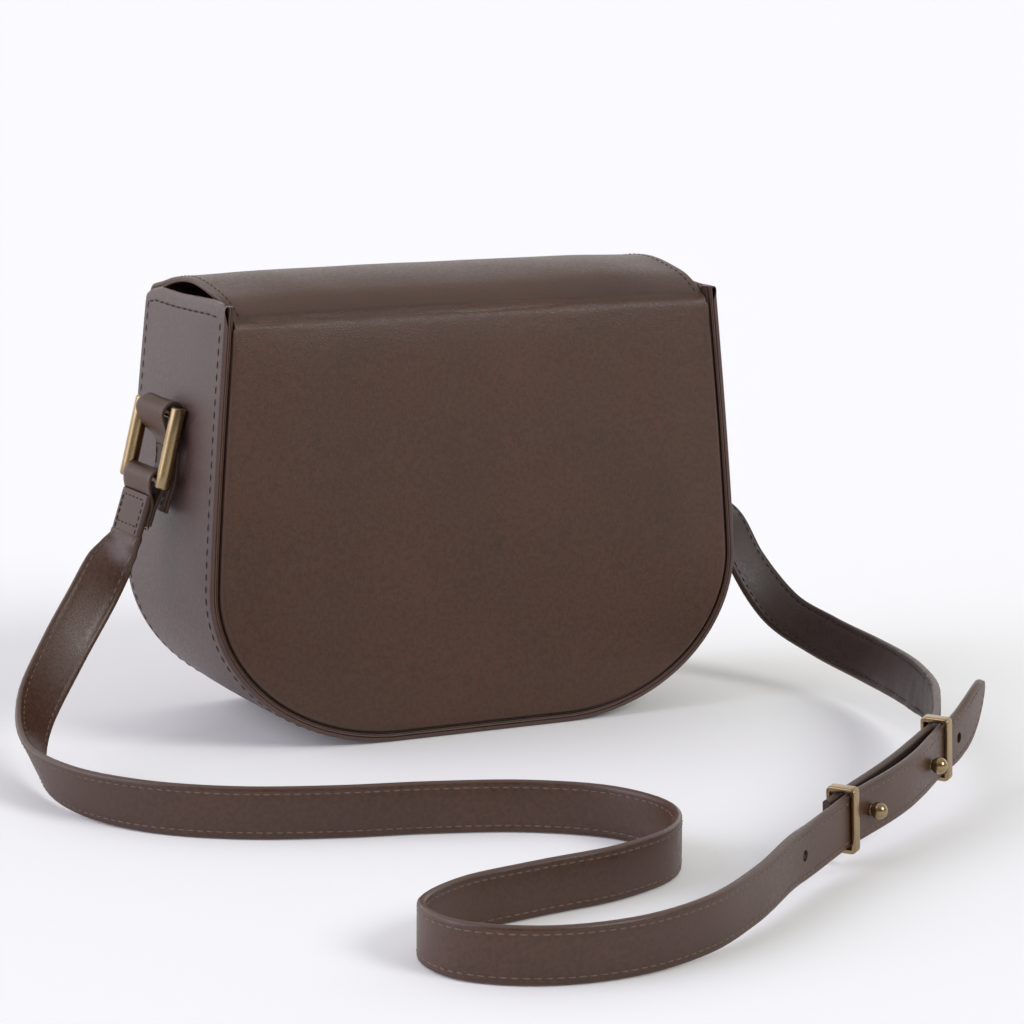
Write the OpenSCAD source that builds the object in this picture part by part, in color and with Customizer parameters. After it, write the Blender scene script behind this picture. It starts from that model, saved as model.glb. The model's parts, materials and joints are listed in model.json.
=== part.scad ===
// Crossbody bag: a structured saddle bag with a fold-over flap, two hinged strap rings
// and a two-piece strap joined by ball studs and sliding keepers.
// Frame: mm, +X to the right seen from the front, the flap drops down the -Y side, +Z up.
// The origin is on the floor under the middle of the body.

/* [Body] */
// Height of the rims, from the floor to the fold
body_h = 180; // [160:1:200]
// Width across the body at the top
top_w = 222; // [205:1:235]
// Width across the body where it is widest
wide_w = 240; // [236:1:260]
// Height of the widest place
wide_z = 67; // [55:1:80]
// Length of the straight part of the bottom edge
flat_w = 76; // [50:1:100]
// Depth across the rims at the top
top_d = 88; // [80:1:94]
// Depth across the rims at the bottom
bottom_d = 100; // [96:1:110]
// Shape number of the sides: 1 is straight, more is rounder
side_curve = 1.2; // [1:0.1:1.6]

/* [Leather and boards] */
// Thickness of the leather
leather_t = 1.7; // [1.4:0.1:2]
// Thickness of the lining and of the edge folded in
lining_t = 1; // [0.8:0.1:1.2]
// Thickness of the gusset's stiffener
gusset_board_t = 0.9; // [0.6:0.1:1.2]
// Width of the groove between a rim and a face
groove_w = 0.8; // [0.6:0.1:1.2]
// Depth of a rim's turned edge
flange_d = 5; // [4.5:0.1:6]
// How far a face stands out of its rim
face_proud = 1; // [0.5:0.1:1.5]
// Height of the hem inside the gusset's top edge
hem_h = 12; // [8:1:20]
// Front panel's top below the rims
front_drop = 4; // [3:0.5:8]
// Width of the slip pocket
pocket_w = 150; // [120:1:170]
// Height of the slip pocket
pocket_h = 95; // [60:1:110]
// Height of the slip pocket's lower edge
pocket_z = 50; // [40:1:60]

/* [Flap] */
// Thickness of the flap
flap_t = 3.3; // [3:0.1:3.8]
// Thickness of the flap's board
flap_board_t = 0.8; // [0.6:0.1:1]
// Room between the flap and the front face
flap_gap = 2.4; // [2.2:0.1:3]
// Angle of the top where it meets the folds
dome_slope = 24; // [15:1:30]
// Depth that each fold takes of the top
bend_run = 5; // [4.5:0.1:7]
// Height of the flap's lower edge
flap_low_z = 42; // [35:1:60]
// Height at which the flap starts to round off
flap_round_z = 100; // [90:1:120]
// Straight part of the flap's lower edge
flap_flat = 52; // [30:1:80]
// Border of the flap that the board leaves free
board_border = 8; // [6:1:12]
// Room between the back panel and the flap at the hinge
hinge_gap = 0.3; // [0.2:0.1:0.5]

/* [Snap] */
// Height of the snap
snap_z = 70; // [60:1:85]
// Diameter of the snap's two plates
snap_d = 18; // [17:0.5:20]
// Thickness of a snap plate above the leather
snap_t = 1.2; // [1.1:0.1:1.3]
// Diameter of the socket
socket_bore = 9; // [8.5:0.1:9.2]
// Depth of the socket
socket_depth = 2; // [1.9:0.05:2.1]
// Diameter of the plug
plug_d = 5.5; // [5:0.1:5.8]
// Length of the plug
plug_len = 1.6; // [1.4:0.1:1.7]
// Outer diameter of the magnet
magnet_d = 14.4; // [14:0.1:14.6]
// Inner diameter of the magnet
magnet_bore = 10.6; // [10.4:0.1:11]
// Height of the magnet
magnet_h = 1.4; // [1.2:0.1:1.6]
// Diameter of the washers that hold the prongs
washer_d = 20; // [19.5:0.5:22]
// Thickness of these washers
washer_t = 0.8; // [0.6:0.1:0.8]
// Thickness of a prong
prong_t = 0.6; // [0.5:0.1:0.7]
// Width of a prong
prong_w = 3; // [2:0.5:4]

/* [Rings and tabs] */
// Distance of a ring's upper rod from the gusset
ring_out = 7.2; // [7:0.1:10]
// Height of the upper rod
ring_z = 135.7; // [133:0.1:140]
// Distance between the two rods
ring_h = 27; // [26:0.1:30]
// Clear width between the side bars
ring_in = 21; // [20.8:0.1:23]
// Diameter of the rods
rod_d = 4; // [3.5:0.1:4.4]
// Diameter of the side bars
bar_d = 6; // [5:0.1:6.2]
// Edge rounding of the side bars
bar_edge = 0.5; // [0.3:0.1:0.8]
// Turn of a ring about the vertical
ring_yaw = 11; // [8:1:12]
// Drop of a ring towards the back
ring_roll = 4; // [0:1:6]
// Angle between a hanging ring and the body's side
ring_stand = 7.4; // [6:0.2:9]
// Width of a tab
tab_w = 19; // [16:0.5:20]
// Thickness of one layer of a tab
tab_t = 1.6; // [1.4:0.1:1.8]
// Radial room between a tab's loop and its rod
tab_play = 0.4; // [0.3:0.1:0.6]
// Length of a tab below its rod
tab_len = 41; // [34:0.5:46]
// Part of that length that stands off the gusset
tab_free = 10.5; // [10:0.5:13]

/* [Strap] */
// Width of the strap
strap_w = 20; // [18:0.5:20.5]
// Thickness of the strap
strap_t = 3; // [2.6:0.1:3.2]
// Thickness of the strap's folded end
fold_t = 2.4; // [2:0.1:2.6]
// Lean of the strap's end beyond its ring
fold_lean = 4.4; // [2:0.2:8]
// Length of the strap's end from the lower rod
fold_len = 24.5; // [24:0.5:28]
// Length of the layer folded back
fold_back = 22.5; // [20:0.5:23]
// Edge bevel of the strap
strap_edge = 0.6; // [0.4:0.1:0.9]
// Room between the two straps at the studs
strap_gap = 1.2; // [1:0.1:1.4]
// Diameter of the strap's holes
hole_d = 4.2; // [4.2:0.1:4.6]
// Diameter of a stud's ball
ball_d = 6.4; // [6:0.1:7]
// Diameter of a stud's neck
neck_d = 3.6; // [3.4:0.1:3.6]
// Diameter of a stud's foot
foot_d = 7.6; // [7:0.1:8]
// Diameter of a stud screw
screw_d = 2.4; // [2:0.1:2.6]
// Diameter of a screw's head
head_d = 7.6; // [7:0.1:7.8]
// Thickness of a screw's head
head_t = 1.2; // [1:0.1:1.4]
// Length of the screw inside its stud
screw_grip = 4; // [3:0.5:4.5]
// Height of a keeper's bar above and below the strap
keeper_bar = 2; // [1.5:0.1:2.4]
// Thickness of a keeper's bar before and behind the strap
keeper_face = 1.7; // [1.3:0.1:2]
// Width of a keeper's bar along the strap
keeper_w = 4.4; // [3.6:0.1:5]
// Room between a keeper and the straps
keeper_play = 0.4; // [0.3:0.1:0.6]

/* [Hidden] */

$fn = 48;
over = 1;
side_steps = 12;
corner_steps = 14;
fold_steps = 5;
dome_steps = 14;

brown = [0.31, 0.24, 0.21];
board_grey = [0.45, 0.42, 0.38];
lining_tan = [0.42, 0.34, 0.27];
brass = [0.62, 0.50, 0.34];
steel = [0.6, 0.6, 0.62];

// Lean of the panels, and the part of a level depth that is at right angles to them
panel_lean = atan((bottom_d - top_d) / 2 / body_h);
square = cos(panel_lean);

// Insets from the outline: rim, groove, wall of the face, board
rim_in = leather_t;
groove_in = 2 * leather_t;
face_in = groove_in + groove_w;
board_in = face_in + leather_t;
face_back = leather_t - face_proud;
lining_back = flange_d + lining_t;
hem_in = leather_t + gusset_board_t;
shell_in = hem_in + lining_t;

// Place and lean of a ring
ring_x = side_x(ring_z) + ring_out;
ring_lean = ring_stand + atan(-side_slope(ring_z));

// The flap's two folds and its domed top, seen from the side
fold_r = bend_run / (square - sin(dome_slope));
fold_z = body_h - fold_r * cos(dome_slope);
hinge_z = fold_z + fold_r * sin(panel_lean);
hinge_y = rim_y(hinge_z) + face_proud;
drop_off = face_proud + (flap_gap + flap_t) / square;
back_fold_y = hinge_y - fold_r * square;
front_fold_y = -(rim_y(hinge_z) + drop_off) + fold_r * square;
dome_back = back_fold_y + fold_r * sin(dome_slope);
dome_front = front_fold_y - fold_r * sin(dome_slope);
dome_span = dome_back - dome_front;
dome_mid = (dome_back + dome_front) / 2;
dome_rise = dome_span * tan(dome_slope) / 4;
back_top = fold_z - hinge_gap;
front_top = body_h - front_drop;

function unit(v) = v / norm(v);
function turned(p) = [for (i = [len(p) - 1:-1:0]) p[i]];
function flipped(p) = [for (i = [len(p) - 1:-1:0]) [-p[i][0], p[i][1]]];

// Half the depth across the rims at a height
function rim_y(z) = bottom_d / 2 - z * (bottom_d - top_d) / 2 / body_h;

// The body's side at a height: half the width, its slope, and a point inset by d
function rise_share(z) = max(0, (z - wide_z) / (body_h - wide_z));
function side_x(z) = wide_w / 2 - (wide_w - top_w) / 2 * pow(rise_share(z), side_curve);
function side_slope(z) = rise_share(z) == 0 ? 0
    : -(wide_w - top_w) / 2 * side_curve * pow(rise_share(z), side_curve - 1) / (body_h - wide_z);
function side_at(z, d) = let (s = side_slope(z), k = norm([1, s])) [side_x(z) - d / k, z + d * s / k];
function corner_at(a, d) = let (rx = (wide_w - flat_w) / 2, n = unit([cos(a) / rx, -sin(a) / wide_z]))
    [flat_w / 2 + rx * cos(a) - d * n[0], wide_z - wide_z * sin(a) - d * n[1]];
function half_outline(d, rise) = let (x = side_x(body_h) - d * norm([1, side_slope(body_h)])) concat(
    rise > 0 ? [[x, body_h + rise]] : [], [[x, body_h]],
    [for (i = [1:side_steps]) side_at(body_h - i * (body_h - wide_z) / side_steps, d)],
    [for (i = [1:corner_steps]) corner_at(90 * i / corner_steps, d)]);
function outline(d, rise = 0) = concat(half_outline(d, rise), flipped(half_outline(d, rise)));

// Solids: an outline run through the depth, and a slab between two depths behind the back rim
module through(depth = 2 * bottom_d) {
    rotate([90, 0, 0]) linear_extrude(depth, center = true) children();
}
module across(width = 2 * wide_w) {
    rotate([90, 0, 90]) linear_extrude(width, center = true) children();
}
module shape(d, rise = 0) {
    polygon(outline(d, rise));
}
module strip(d1, d2, rise = 0) {
    polygon(concat(outline(d1, rise), turned(outline(d2, rise))));
}
module slab(d1, d2, z1, z2, width = 2 * wide_w) {
    across(width) polygon([[rim_y(z1) - d1, z1], [rim_y(z1) - d2, z1], [rim_y(z2) - d2, z2], [rim_y(z2) - d1, z2]]);
}
module between(d, z1, z2) {
    across() polygon([[rim_y(z1) - d, z1], [rim_y(z2) - d, z2], [d - rim_y(z2), z2], [d - rim_y(z1), z1]]);
}

// A face with its turned edge, its board and its lining, for a top at the given height
module panel(top) {
    difference() {
        union() {
            intersection() {
                through() shape(rim_in);
                slab(0, flange_d, -over, body_h);
            }
            intersection() {
                through() shape(face_in);
                slab(-face_proud, face_back, -over, top);
            }
        }
        intersection() {
            through() strip(groove_in, face_in, over);
            slab(-over, flange_d - leather_t, -over, body_h + over);
        }
        intersection() {
            through() shape(board_in, over);
            slab(face_back, flange_d + over, -over, body_h + over);
        }
        intersection() {
            through() shape(groove_in, over);
            slab(-over - face_proud, flange_d + over, top, body_h + over);
        }
    }
}
module panel_board(top) {
    intersection() {
        through() shape(board_in);
        slab(face_back, flange_d, 0, top);
    }
}
module panel_lining(top) {
    intersection() {
        through() shape(rim_in);
        slab(flange_d, lining_back, 0, top);
    }
}

module back_panel() { color(brown) panel(back_top); }
module back_stiffener() { color(board_grey) panel_board(back_top); }
module back_lining() { color(lining_tan) panel_lining(back_top); }
module front_panel() {
    color(brown) difference() {
        mirror([0, 1, 0]) panel(front_top);
        snap_frame() {
            disc(snap_d, -snap_t, over);
            prongs(socket_stack, snap_t);
        }
    }
}
module front_stiffener() {
    color(board_grey) difference() {
        mirror([0, 1, 0]) panel_board(front_top);
        snap_frame() {
            prongs(socket_stack, snap_t);
            disc(washer_d, -socket_stack - over, washer_t - socket_stack);
        }
    }
}
module front_lining() { color(lining_tan) mirror([0, 1, 0]) panel_lining(front_top); }
module slip_pocket() {
    color(lining_tan) slab(lining_back, lining_back + lining_t, pocket_z, pocket_z + pocket_h, pocket_w);
}

// The gusset: leather with its top edge folded in over a stiffener and a lining
module gusset() {
    color(brown) union() {
        intersection() {
            through() strip(0, leather_t);
            between(0, 0, body_h);
        }
        difference() {
            intersection() {
                through() strip(0, shell_in);
                between(lining_back, body_h - hem_h, body_h);
            }
            intersection() {
                through() strip(leather_t, hem_in);
                between(0, 0, body_h - leather_t);
            }
        }
    }
}
module gusset_stiffener() {
    color(board_grey) intersection() {
        through() strip(leather_t, hem_in);
        between(lining_back, 0, body_h - leather_t);
    }
}
module gusset_lining() {
    color(lining_tan) intersection() {
        through() strip(hem_in, shell_in);
        between(lining_back, 0, body_h - hem_h);
    }
}

// The flap's path from the hinge over the top and down the front, inset by d
function fold_at(y, a, d) = [y + (fold_r - d) * cos(a), fold_z + (fold_r - d) * sin(a)];
function dome_at(y, d) = let (s = -8 * dome_rise * (y - dome_mid) / pow(dome_span, 2), n = unit([-s, 1]))
    [y - d * n[0], body_h + dome_rise * (1 - pow(2 * (y - dome_mid) / dome_span, 2)) - d * n[1]];
function drop_at(z, d) = [d / square - rim_y(z) - drop_off, z];
function flap_path(d) = concat(
    [for (i = [0:fold_steps]) fold_at(back_fold_y, panel_lean + i * (90 - dome_slope - panel_lean) / fold_steps, d)],
    [for (i = [1:dome_steps - 1]) dome_at(dome_back - i * dome_span / dome_steps, d)],
    [for (i = [0:fold_steps])
        fold_at(front_fold_y, 90 + dome_slope + i * (90 - panel_lean - dome_slope) / fold_steps, d)],
    [drop_at(0, d)]);
module flap_layer(d1, d2) {
    across() polygon(concat(flap_path(d1), turned(flap_path(d2))));
}
function flap_half(d) = let (x = side_x(flap_round_z) - face_in - d, rx = x - flap_flat / 2,
        rz = flap_round_z - flap_low_z - d) concat(
    [[side_x(body_h) - face_in - d, 2 * body_h]],
    [for (i = [0:side_steps]) let (z = body_h - i * (body_h - flap_round_z) / side_steps)
        [side_x(z) - face_in - d, z]],
    [for (i = [1:corner_steps]) let (a = 90 * i / corner_steps)
        [flap_flat / 2 + rx * cos(a), flap_round_z - rz * sin(a)]]);
module flap_shape(d = 0) {
    through() polygon(concat(flap_half(d), flipped(flap_half(d))));
}
module flap() {
    color(brown) intersection() {
        flap_layer(0, leather_t);
        flap_shape();
    }
}
module board_place() {
    intersection() {
        flap_layer(leather_t, leather_t + flap_board_t);
        flap_shape(board_border);
        translate([-wide_w, -bottom_d, 0]) cube([2 * wide_w, bottom_d + dome_back - board_border, 2 * body_h]);
    }
}
module flap_lining() {
    color(brown) difference() {
        intersection() {
            flap_layer(leather_t, flap_t);
            flap_shape();
        }
        board_place();
        snap_frame() prongs(over - stud_base, stud_top);
    }
}
module flap_board() {
    color(board_grey) difference() {
        board_place();
        snap_frame() disc(washer_d, stud_base, stud_top + over);
    }
}

// The snap: heights from the front face along its normal
socket_stack = (flange_d + face_proud) * square;
stud_base = flap_gap;
stud_top = flap_gap + flap_t - leather_t;
prong_x = snap_d / 2 - 2 * prong_t;
module snap_frame() {
    translate([0, -rim_y(snap_z) - face_proud, snap_z]) rotate([90 - panel_lean, 0, 0]) children();
}
module disc(d, z1, z2) {
    translate([0, 0, z1]) cylinder(h = z2 - z1, d = d);
}
module prongs(down, up) {
    for (side = [-1, 1])
        translate([side * (prong_x + prong_t / 2) - prong_t / 2, -prong_w / 2, -down])
            cube([prong_t, prong_w, down + up]);
}
module washer(z) {
    difference() {
        disc(washer_d, z, z + washer_t);
        disc(plug_d, z - over, z + washer_t + over);
        prongs(over - z, z + washer_t + over);
    }
}
module snap_socket() {
    color(brass) snap_frame() difference() {
        union() {
            disc(snap_d, -snap_t, snap_t);
            prongs(socket_stack, 0);
        }
        disc(socket_bore, snap_t - socket_depth, snap_t + over);
        difference() {
            disc(magnet_d, -snap_t - over, magnet_h - snap_t);
            disc(magnet_bore, -snap_t - 2 * over, magnet_h);
        }
    }
}
module snap_magnet() {
    color(steel) snap_frame() difference() {
        disc(magnet_d, -snap_t, magnet_h - snap_t);
        disc(magnet_bore, -snap_t - over, magnet_h);
    }
}
module snap_socket_washer() { color(steel) snap_frame() washer(-socket_stack); }
module snap_stud() {
    color(brass) snap_frame() {
        disc(snap_d, snap_t, stud_base);
        disc(plug_d, snap_t - plug_len, snap_t + over);
        prongs(-snap_t, stud_top);
    }
}
module snap_stud_washer() { color(steel) snap_frame() washer(stud_top - washer_t); }

// Rings, tabs and strap ends are drawn on the right and mirrored
module rod_frame() {
    translate([ring_x, 0, ring_z]) rotate([-ring_roll, 0, ring_yaw]) children();
}
module ring_frame() {
    rod_frame() rotate([0, -ring_lean, 0]) children();
}
module fold_frame() {
    ring_frame() translate([0, 0, -ring_h]) rotate([0, -fold_lean, 0]) children();
}
module rod(d, len) {
    rotate([90, 0, 0]) cylinder(h = len, d = d, center = true);
}
module tab_layers(len1, len2) {
    intersection() {
        through() strip(-2 * tab_t, 0);
        translate([0, 0, ring_z]) rotate([-ring_roll, 0, 0])
            translate([0, -tab_w / 2, -len2]) cube([wide_w, tab_w, len2 - len1]);
    }
}
module tab() {
    color(brown) difference() {
        union() {
            tab_layers(tab_free, tab_len);
            hull() {
                tab_layers(tab_free, tab_free + tab_t);
                rod_frame() rod(rod_d + 2 * tab_play + 2 * tab_t, tab_w);
            }
        }
        rod_frame() rod(rod_d + 2 * tab_play, 2 * tab_w);
    }
}
module ring() {
    bar_y = (ring_in + bar_d) / 2;
    color(brass) ring_frame() {
        for (z = [0, -ring_h]) translate([0, 0, z]) rod(rod_d, 2 * bar_y);
        for (side = [-1, 1]) translate([0, side * bar_y, -ring_h - bar_d / 2]) {
            translate([0, 0, bar_edge]) cylinder(h = ring_h + bar_d - 2 * bar_edge, d = bar_d);
            cylinder(h = bar_edge, d1 = bar_d - 2 * bar_edge, d2 = bar_d);
            translate([0, 0, ring_h + bar_d - bar_edge])
                cylinder(h = bar_edge, d1 = bar_d, d2 = bar_d - 2 * bar_edge);
        }
    }
}
module strap_end() {
    loop_d = rod_d + 2 * fold_t;
    color(brown) fold_frame() difference() {
        rotate([90, 0, 0]) linear_extrude(strap_w, center = true) {
            hull() {
                circle(d = loop_d);
                translate([-strap_t, -2 * loop_d]) square([strap_t + fold_t, loop_d / 2]);
            }
            translate([-strap_t, -fold_len]) square([strap_t, fold_len - loop_d]);
            translate([-strap_t, -fold_back]) square([strap_t + fold_t, fold_back - loop_d]);
        }
        rod(rod_d, 2 * strap_w);
    }
}
module tab_right() { tab(); }
module tab_left() { mirror([1, 0, 0]) tab(); }
module ring_right() { ring(); }
module ring_left() { mirror([1, 0, 0]) ring(); }
module strap_end_right() { strap_end(); }
module strap_end_left() { mirror([1, 0, 0]) strap_end(); }

// The straight stretch where the straps overlap: its start, heading and climb,
// and the places along it of the studs, keepers, holes and ends
join_start = [-20.6, 293, 16.2];
join_heading = 214;
join_climb = 5.2;
stud_at = [26, 80];
keeper_at = [13, 98.5];
spare_hole_at = [-28, 112];
short_end_at = 3.5;
short_join_at = 108;
tip_at = [118, 126, 134, 140, 144.5, 146.5];
tip_share = [1, 1, 0.93, 0.77, 0.5, 0.25];

join_dir = [cos(join_climb) * cos(join_heading), cos(join_climb) * sin(join_heading), sin(join_climb)];
join_side = [-sin(join_heading), cos(join_heading), 0];
short_off = strap_t + strap_gap;
function join_point(s, off) = join_start + s * join_dir + off * join_side;
module join_frame(s) {
    translate(join_start) rotate([0, -join_climb, join_heading]) translate([s, 0, 0]) children();
}

// Routes of the two straps: x, y, z and the angle by which the width leans out of the upright
long_start = [[134.22, -1.27, 85.17, 76], [134.96, -1.3, 82.78, 76], [138.2, -1.6, 79.6, 70]];
long_route = [
    [143, -1.3, 74.6, 62], [153.5, 3.5, 61.5, 53], [170.5, 15.5, 43.5, 44], [190.5, 37.5, 24, 35],
    [200.5, 69, 13, 25], [197.5, 104, 10.5, 13], [181.5, 135, 10, 3], [155, 158, 10, 0],
    [121.5, 172.5, 10, 0], [85.5, 182.5, 10, 0], [52, 196, 10, 0], [27.5, 217.5, 10, 0],
    [20, 246.5, 10, 0], [33, 272, 10, 0], [61.5, 287, 10, 0], [97.5, 293, 10, 0],
    [131.5, 301, 10, 0], [153, 318.5, 10, 0], [152, 342.5, 10, 0], [130.5, 360.5, 10, 0],
    [98.5, 365, 10, 0], [65.5, 355.5, 10.5, 0], [36, 336.5, 12, 0], [8.5, 313.5, 14, 0]];
short_start = [[-134.22, -1.27, 85.17, -76], [-134.96, -1.3, 82.78, -76], [-138.2, -1.6, 79.6, -75]];
short_route = [
    [-142.7, -1.9, 75.1, -73], [-149.5, 6, 53.5, -67], [-158.5, 23, 33, -52], [-166.5, 45, 24.5, -40],
    [-169.5, 78, 20.5, -28], [-164.5, 110.5, 20.5, -18], [-154.5, 142, 22, -7], [-141, 172.5, 24, 0],
    [-124, 200.5, 25, 0]];

// A route made twice as fine along a smooth curve
function route_point(r, i) = i < 0 ? 2 * r[0] - r[1] : i >= len(r) ? 2 * r[len(r) - 1] - r[len(r) - 2] : r[i];
function halfway(r, i) = (9 * (r[i] + r[i + 1]) - route_point(r, i - 1) - route_point(r, i + 2)) / 16;
function finer(r) = concat([for (i = [0:len(r) - 2]) each [r[i], halfway(r, i)]], [r[len(r) - 1]]);
function place(p) = [p[0], p[1], p[2]];
function heading(r, i) = unit(place(r[min(i + 1, len(r) - 1)]) - place(r[max(i - 1, 0)]));
function edge_dir(t, a) = let (v = unit([0, 0, 1] - t[2] * t)) cos(a) * v + sin(a) * cross(t, v);

// Section of the strap: its corners as shares of the half width, with the bevels left on
function section(w) = let (a = w / 2, b = strap_t / 2, c = strap_edge)
    [[a, b - c], [a - c, b], [c - a, b], [-a, b - c], [-a, c - b], [c - a, -b], [a - c, -b], [a, c - b]];
module ribbon(r, share) {
    n = len(r);
    k = len(section(strap_w));
    points = [for (i = [0:n - 1]) let (t = heading(r, i), u = edge_dir(t, r[i][3]), w = cross(t, u))
        each [for (p = section(strap_w * share[i])) place(r[i]) + p[0] * u + p[1] * w]];
    faces = concat([[for (j = [0:k - 1]) j]], [[for (j = [k - 1:-1:0]) (n - 1) * k + j]],
        [for (i = [0:n - 2]) each [for (j = [0:k - 1]) let (m = (j + 1) % k)
            each [[i * k + j, (i + 1) * k + j, (i + 1) * k + m], [i * k + j, (i + 1) * k + m, i * k + m]]]]);
    polyhedron(points, faces);
}
long_line = concat(long_start, finer(concat(long_route, [concat(join_point(-20, 0), [0]), concat(join_start, [0])])),
    [for (s = tip_at) concat(join_point(s, 0), [0])]);
long_share = [for (i = [0:len(long_line) - 1]) let (j = i - len(long_line) + len(tip_at)) j < 0 ? 1 : tip_share[j]];
short_line = concat(short_start, finer(concat(short_route, [concat(join_point(short_join_at, short_off), [0])])),
    [for (s = [stud_at[1], stud_at[0], short_end_at]) concat(join_point(s, short_off), [0])]);
short_share = [for (p = short_line) 1];

module side_bore(s, d, y1, y2) {
    join_frame(s) translate([0, y2, 0]) rotate([90, 0, 0]) cylinder(h = y2 - y1, d = d);
}
module strap_long() {
    color(brown) difference() {
        ribbon(long_line, long_share);
        for (s = concat(stud_at, spare_hole_at)) side_bore(s, hole_d, -strap_t, strap_t);
    }
}
module strap_short() {
    color(brown) difference() {
        ribbon(short_line, short_share);
        for (s = stud_at) side_bore(s, screw_d, 0, 2 * short_off);
    }
}
ball_off = strap_t / 2 + ball_d / 2;
module studs() {
    color(brass) for (s = stud_at) difference() {
        union() {
            side_bore(s, foot_d, strap_t / 2, strap_t / 2 + strap_gap);
            side_bore(s, neck_d, -ball_off, strap_t / 2 + strap_gap / 2);
            join_frame(s) translate([0, -ball_off, 0]) sphere(d = ball_d);
        }
        side_bore(s, screw_d, strap_t / 2 + strap_gap - screw_grip, strap_t);
    }
}
module stud_screws() {
    color(brass) for (s = stud_at) {
        side_bore(s, head_d, short_off + strap_t / 2, short_off + strap_t / 2 + head_t);
        side_bore(s, screw_d, strap_t / 2 + strap_gap - screw_grip, short_off + strap_t / 2 + head_t / 2);
    }
}
module keeper(s) {
    in_y = 2 * strap_t + strap_gap + 2 * keeper_play;
    in_z = strap_w + 2 * keeper_play;
    color(brass) join_frame(s) translate([0, short_off / 2, 0]) difference() {
        cube([keeper_w, in_y + 2 * keeper_face, in_z + 2 * keeper_bar], center = true);
        cube([2 * keeper_w, in_y, in_z], center = true);
    }
}
module keeper_lower() { keeper(keeper_at[0]); }
module keeper_upper() { keeper(keeper_at[1]); }

back_panel();
front_panel();
gusset();
back_stiffener();
front_stiffener();
gusset_stiffener();
back_lining();
front_lining();
gusset_lining();
slip_pocket();
tab_left();
tab_right();
snap_socket();
snap_magnet();
snap_socket_washer();
flap();
flap_lining();
flap_board();
snap_stud();
snap_stud_washer();
ring_left();
ring_right();
strap_end_left();
strap_end_right();
strap_long();
strap_short();
studs();
stud_screws();
keeper_lower();
keeper_upper();
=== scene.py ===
import bisect
import json
import math
import bmesh
import bpy
from mathutils import Matrix, Vector, noise


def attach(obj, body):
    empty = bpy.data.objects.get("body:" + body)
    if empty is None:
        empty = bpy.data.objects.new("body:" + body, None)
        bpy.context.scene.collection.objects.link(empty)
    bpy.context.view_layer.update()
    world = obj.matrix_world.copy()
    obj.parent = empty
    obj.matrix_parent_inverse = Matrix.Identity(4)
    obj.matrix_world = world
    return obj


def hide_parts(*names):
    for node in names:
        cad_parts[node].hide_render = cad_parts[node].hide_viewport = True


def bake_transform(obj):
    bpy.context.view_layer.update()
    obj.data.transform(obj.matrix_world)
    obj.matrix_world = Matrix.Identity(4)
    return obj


# Crossbody bag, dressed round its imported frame. Lengths are in millimetres until a mesh is finished.
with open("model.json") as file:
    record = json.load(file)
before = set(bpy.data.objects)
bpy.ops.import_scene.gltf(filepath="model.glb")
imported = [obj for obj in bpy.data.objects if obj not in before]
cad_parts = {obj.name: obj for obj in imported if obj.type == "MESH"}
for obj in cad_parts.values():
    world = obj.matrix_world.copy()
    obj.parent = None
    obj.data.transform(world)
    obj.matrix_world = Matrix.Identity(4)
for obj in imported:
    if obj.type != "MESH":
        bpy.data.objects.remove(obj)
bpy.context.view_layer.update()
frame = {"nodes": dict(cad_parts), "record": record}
scene = bpy.context.scene
mm = 0.001
weld = 0.002  # corners nearer than this become one


def addObject(name, data):
    obj = bpy.data.objects.new(name, data)
    scene.collection.objects.link(obj)
    return obj


def toObject(bm, name):
    mesh = bpy.data.meshes.new(name)
    bm.to_mesh(mesh)
    bm.free()
    return addObject(name, mesh)


def feed(tree, node, sockets):
    # each socket takes a value, or a link from another node's output
    for socket, value in sockets.items():
        if hasattr(value, "is_output"):
            tree.links.new(value, node.inputs[socket])
        else:
            node.inputs[socket].default_value = value


def addNode(tree, kind, sockets=None, **settings):
    node = tree.nodes.new(kind)
    for key, value in settings.items():
        setattr(node, key, value)
    feed(tree, node, sockets or {})
    return node


def reckon(tree, operation, a, b):
    return addNode(tree, "ShaderNodeMath", {0: a, 1: b}, operation=operation).outputs[0]


def spread(tree, value, low, high, toLow, toHigh, **settings):
    # one range of numbers brought to another
    sockets = {"Value": value, "From Min": low, "From Max": high, "To Min": toLow, "To Max": toHigh}
    return addNode(tree, "ShaderNodeMapRange", sockets, **settings).outputs[0]


def cloudAt(tree, where, scale, detail):
    sockets = {"Vector": where, "Scale": scale, "Detail": detail}
    return addNode(tree, "ShaderNodeTexNoise", sockets).outputs["Fac"]


camera = {"place": (619.914, 1323.752, 353.464), "target": (-37.51, 0, 81.35), "lens": 123.33, "roll": 0.362}


def aimCamera():
    data = bpy.data.cameras.new("camera")
    data.lens, data.sensor_width, data.clip_end = camera["lens"], 36, 60
    place, target = Vector(camera["place"]) * mm, Vector(camera["target"]) * mm
    ahead = (target - place).normalized()
    right = ahead.cross(Vector((0, 0, 1))).normalized()
    up = right.cross(ahead)
    r = math.radians(camera["roll"])
    right, up = right * math.cos(r) + up * math.sin(r), up * math.cos(r) - right * math.sin(r)
    turn = Matrix((right, up, -ahead)).transposed().to_quaternion()
    obj = addObject("camera", data)
    obj.matrix_world = Matrix.LocRotScale(place, turn, None)
    scene.camera = obj


studio = {"white": 0.95, "floor": (0.98, 0.975, 0.96, 1), "shadowShare": 0.95, "ahead": 1.35, "behind": 0.19,
          "overhead": 0.35, "plain": (1, 1, 1), "cool": (0.94, 0.92, 1.2)}
# each sun: name, azimuth, height, power, spread, colour
suns = (("key", 210, 34, 1.3, 24, "plain"), ("side", 80, 30, 1.15, 50, "cool"),
        ("top", 200, 78, 0.4, 80, "plain"))


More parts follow.
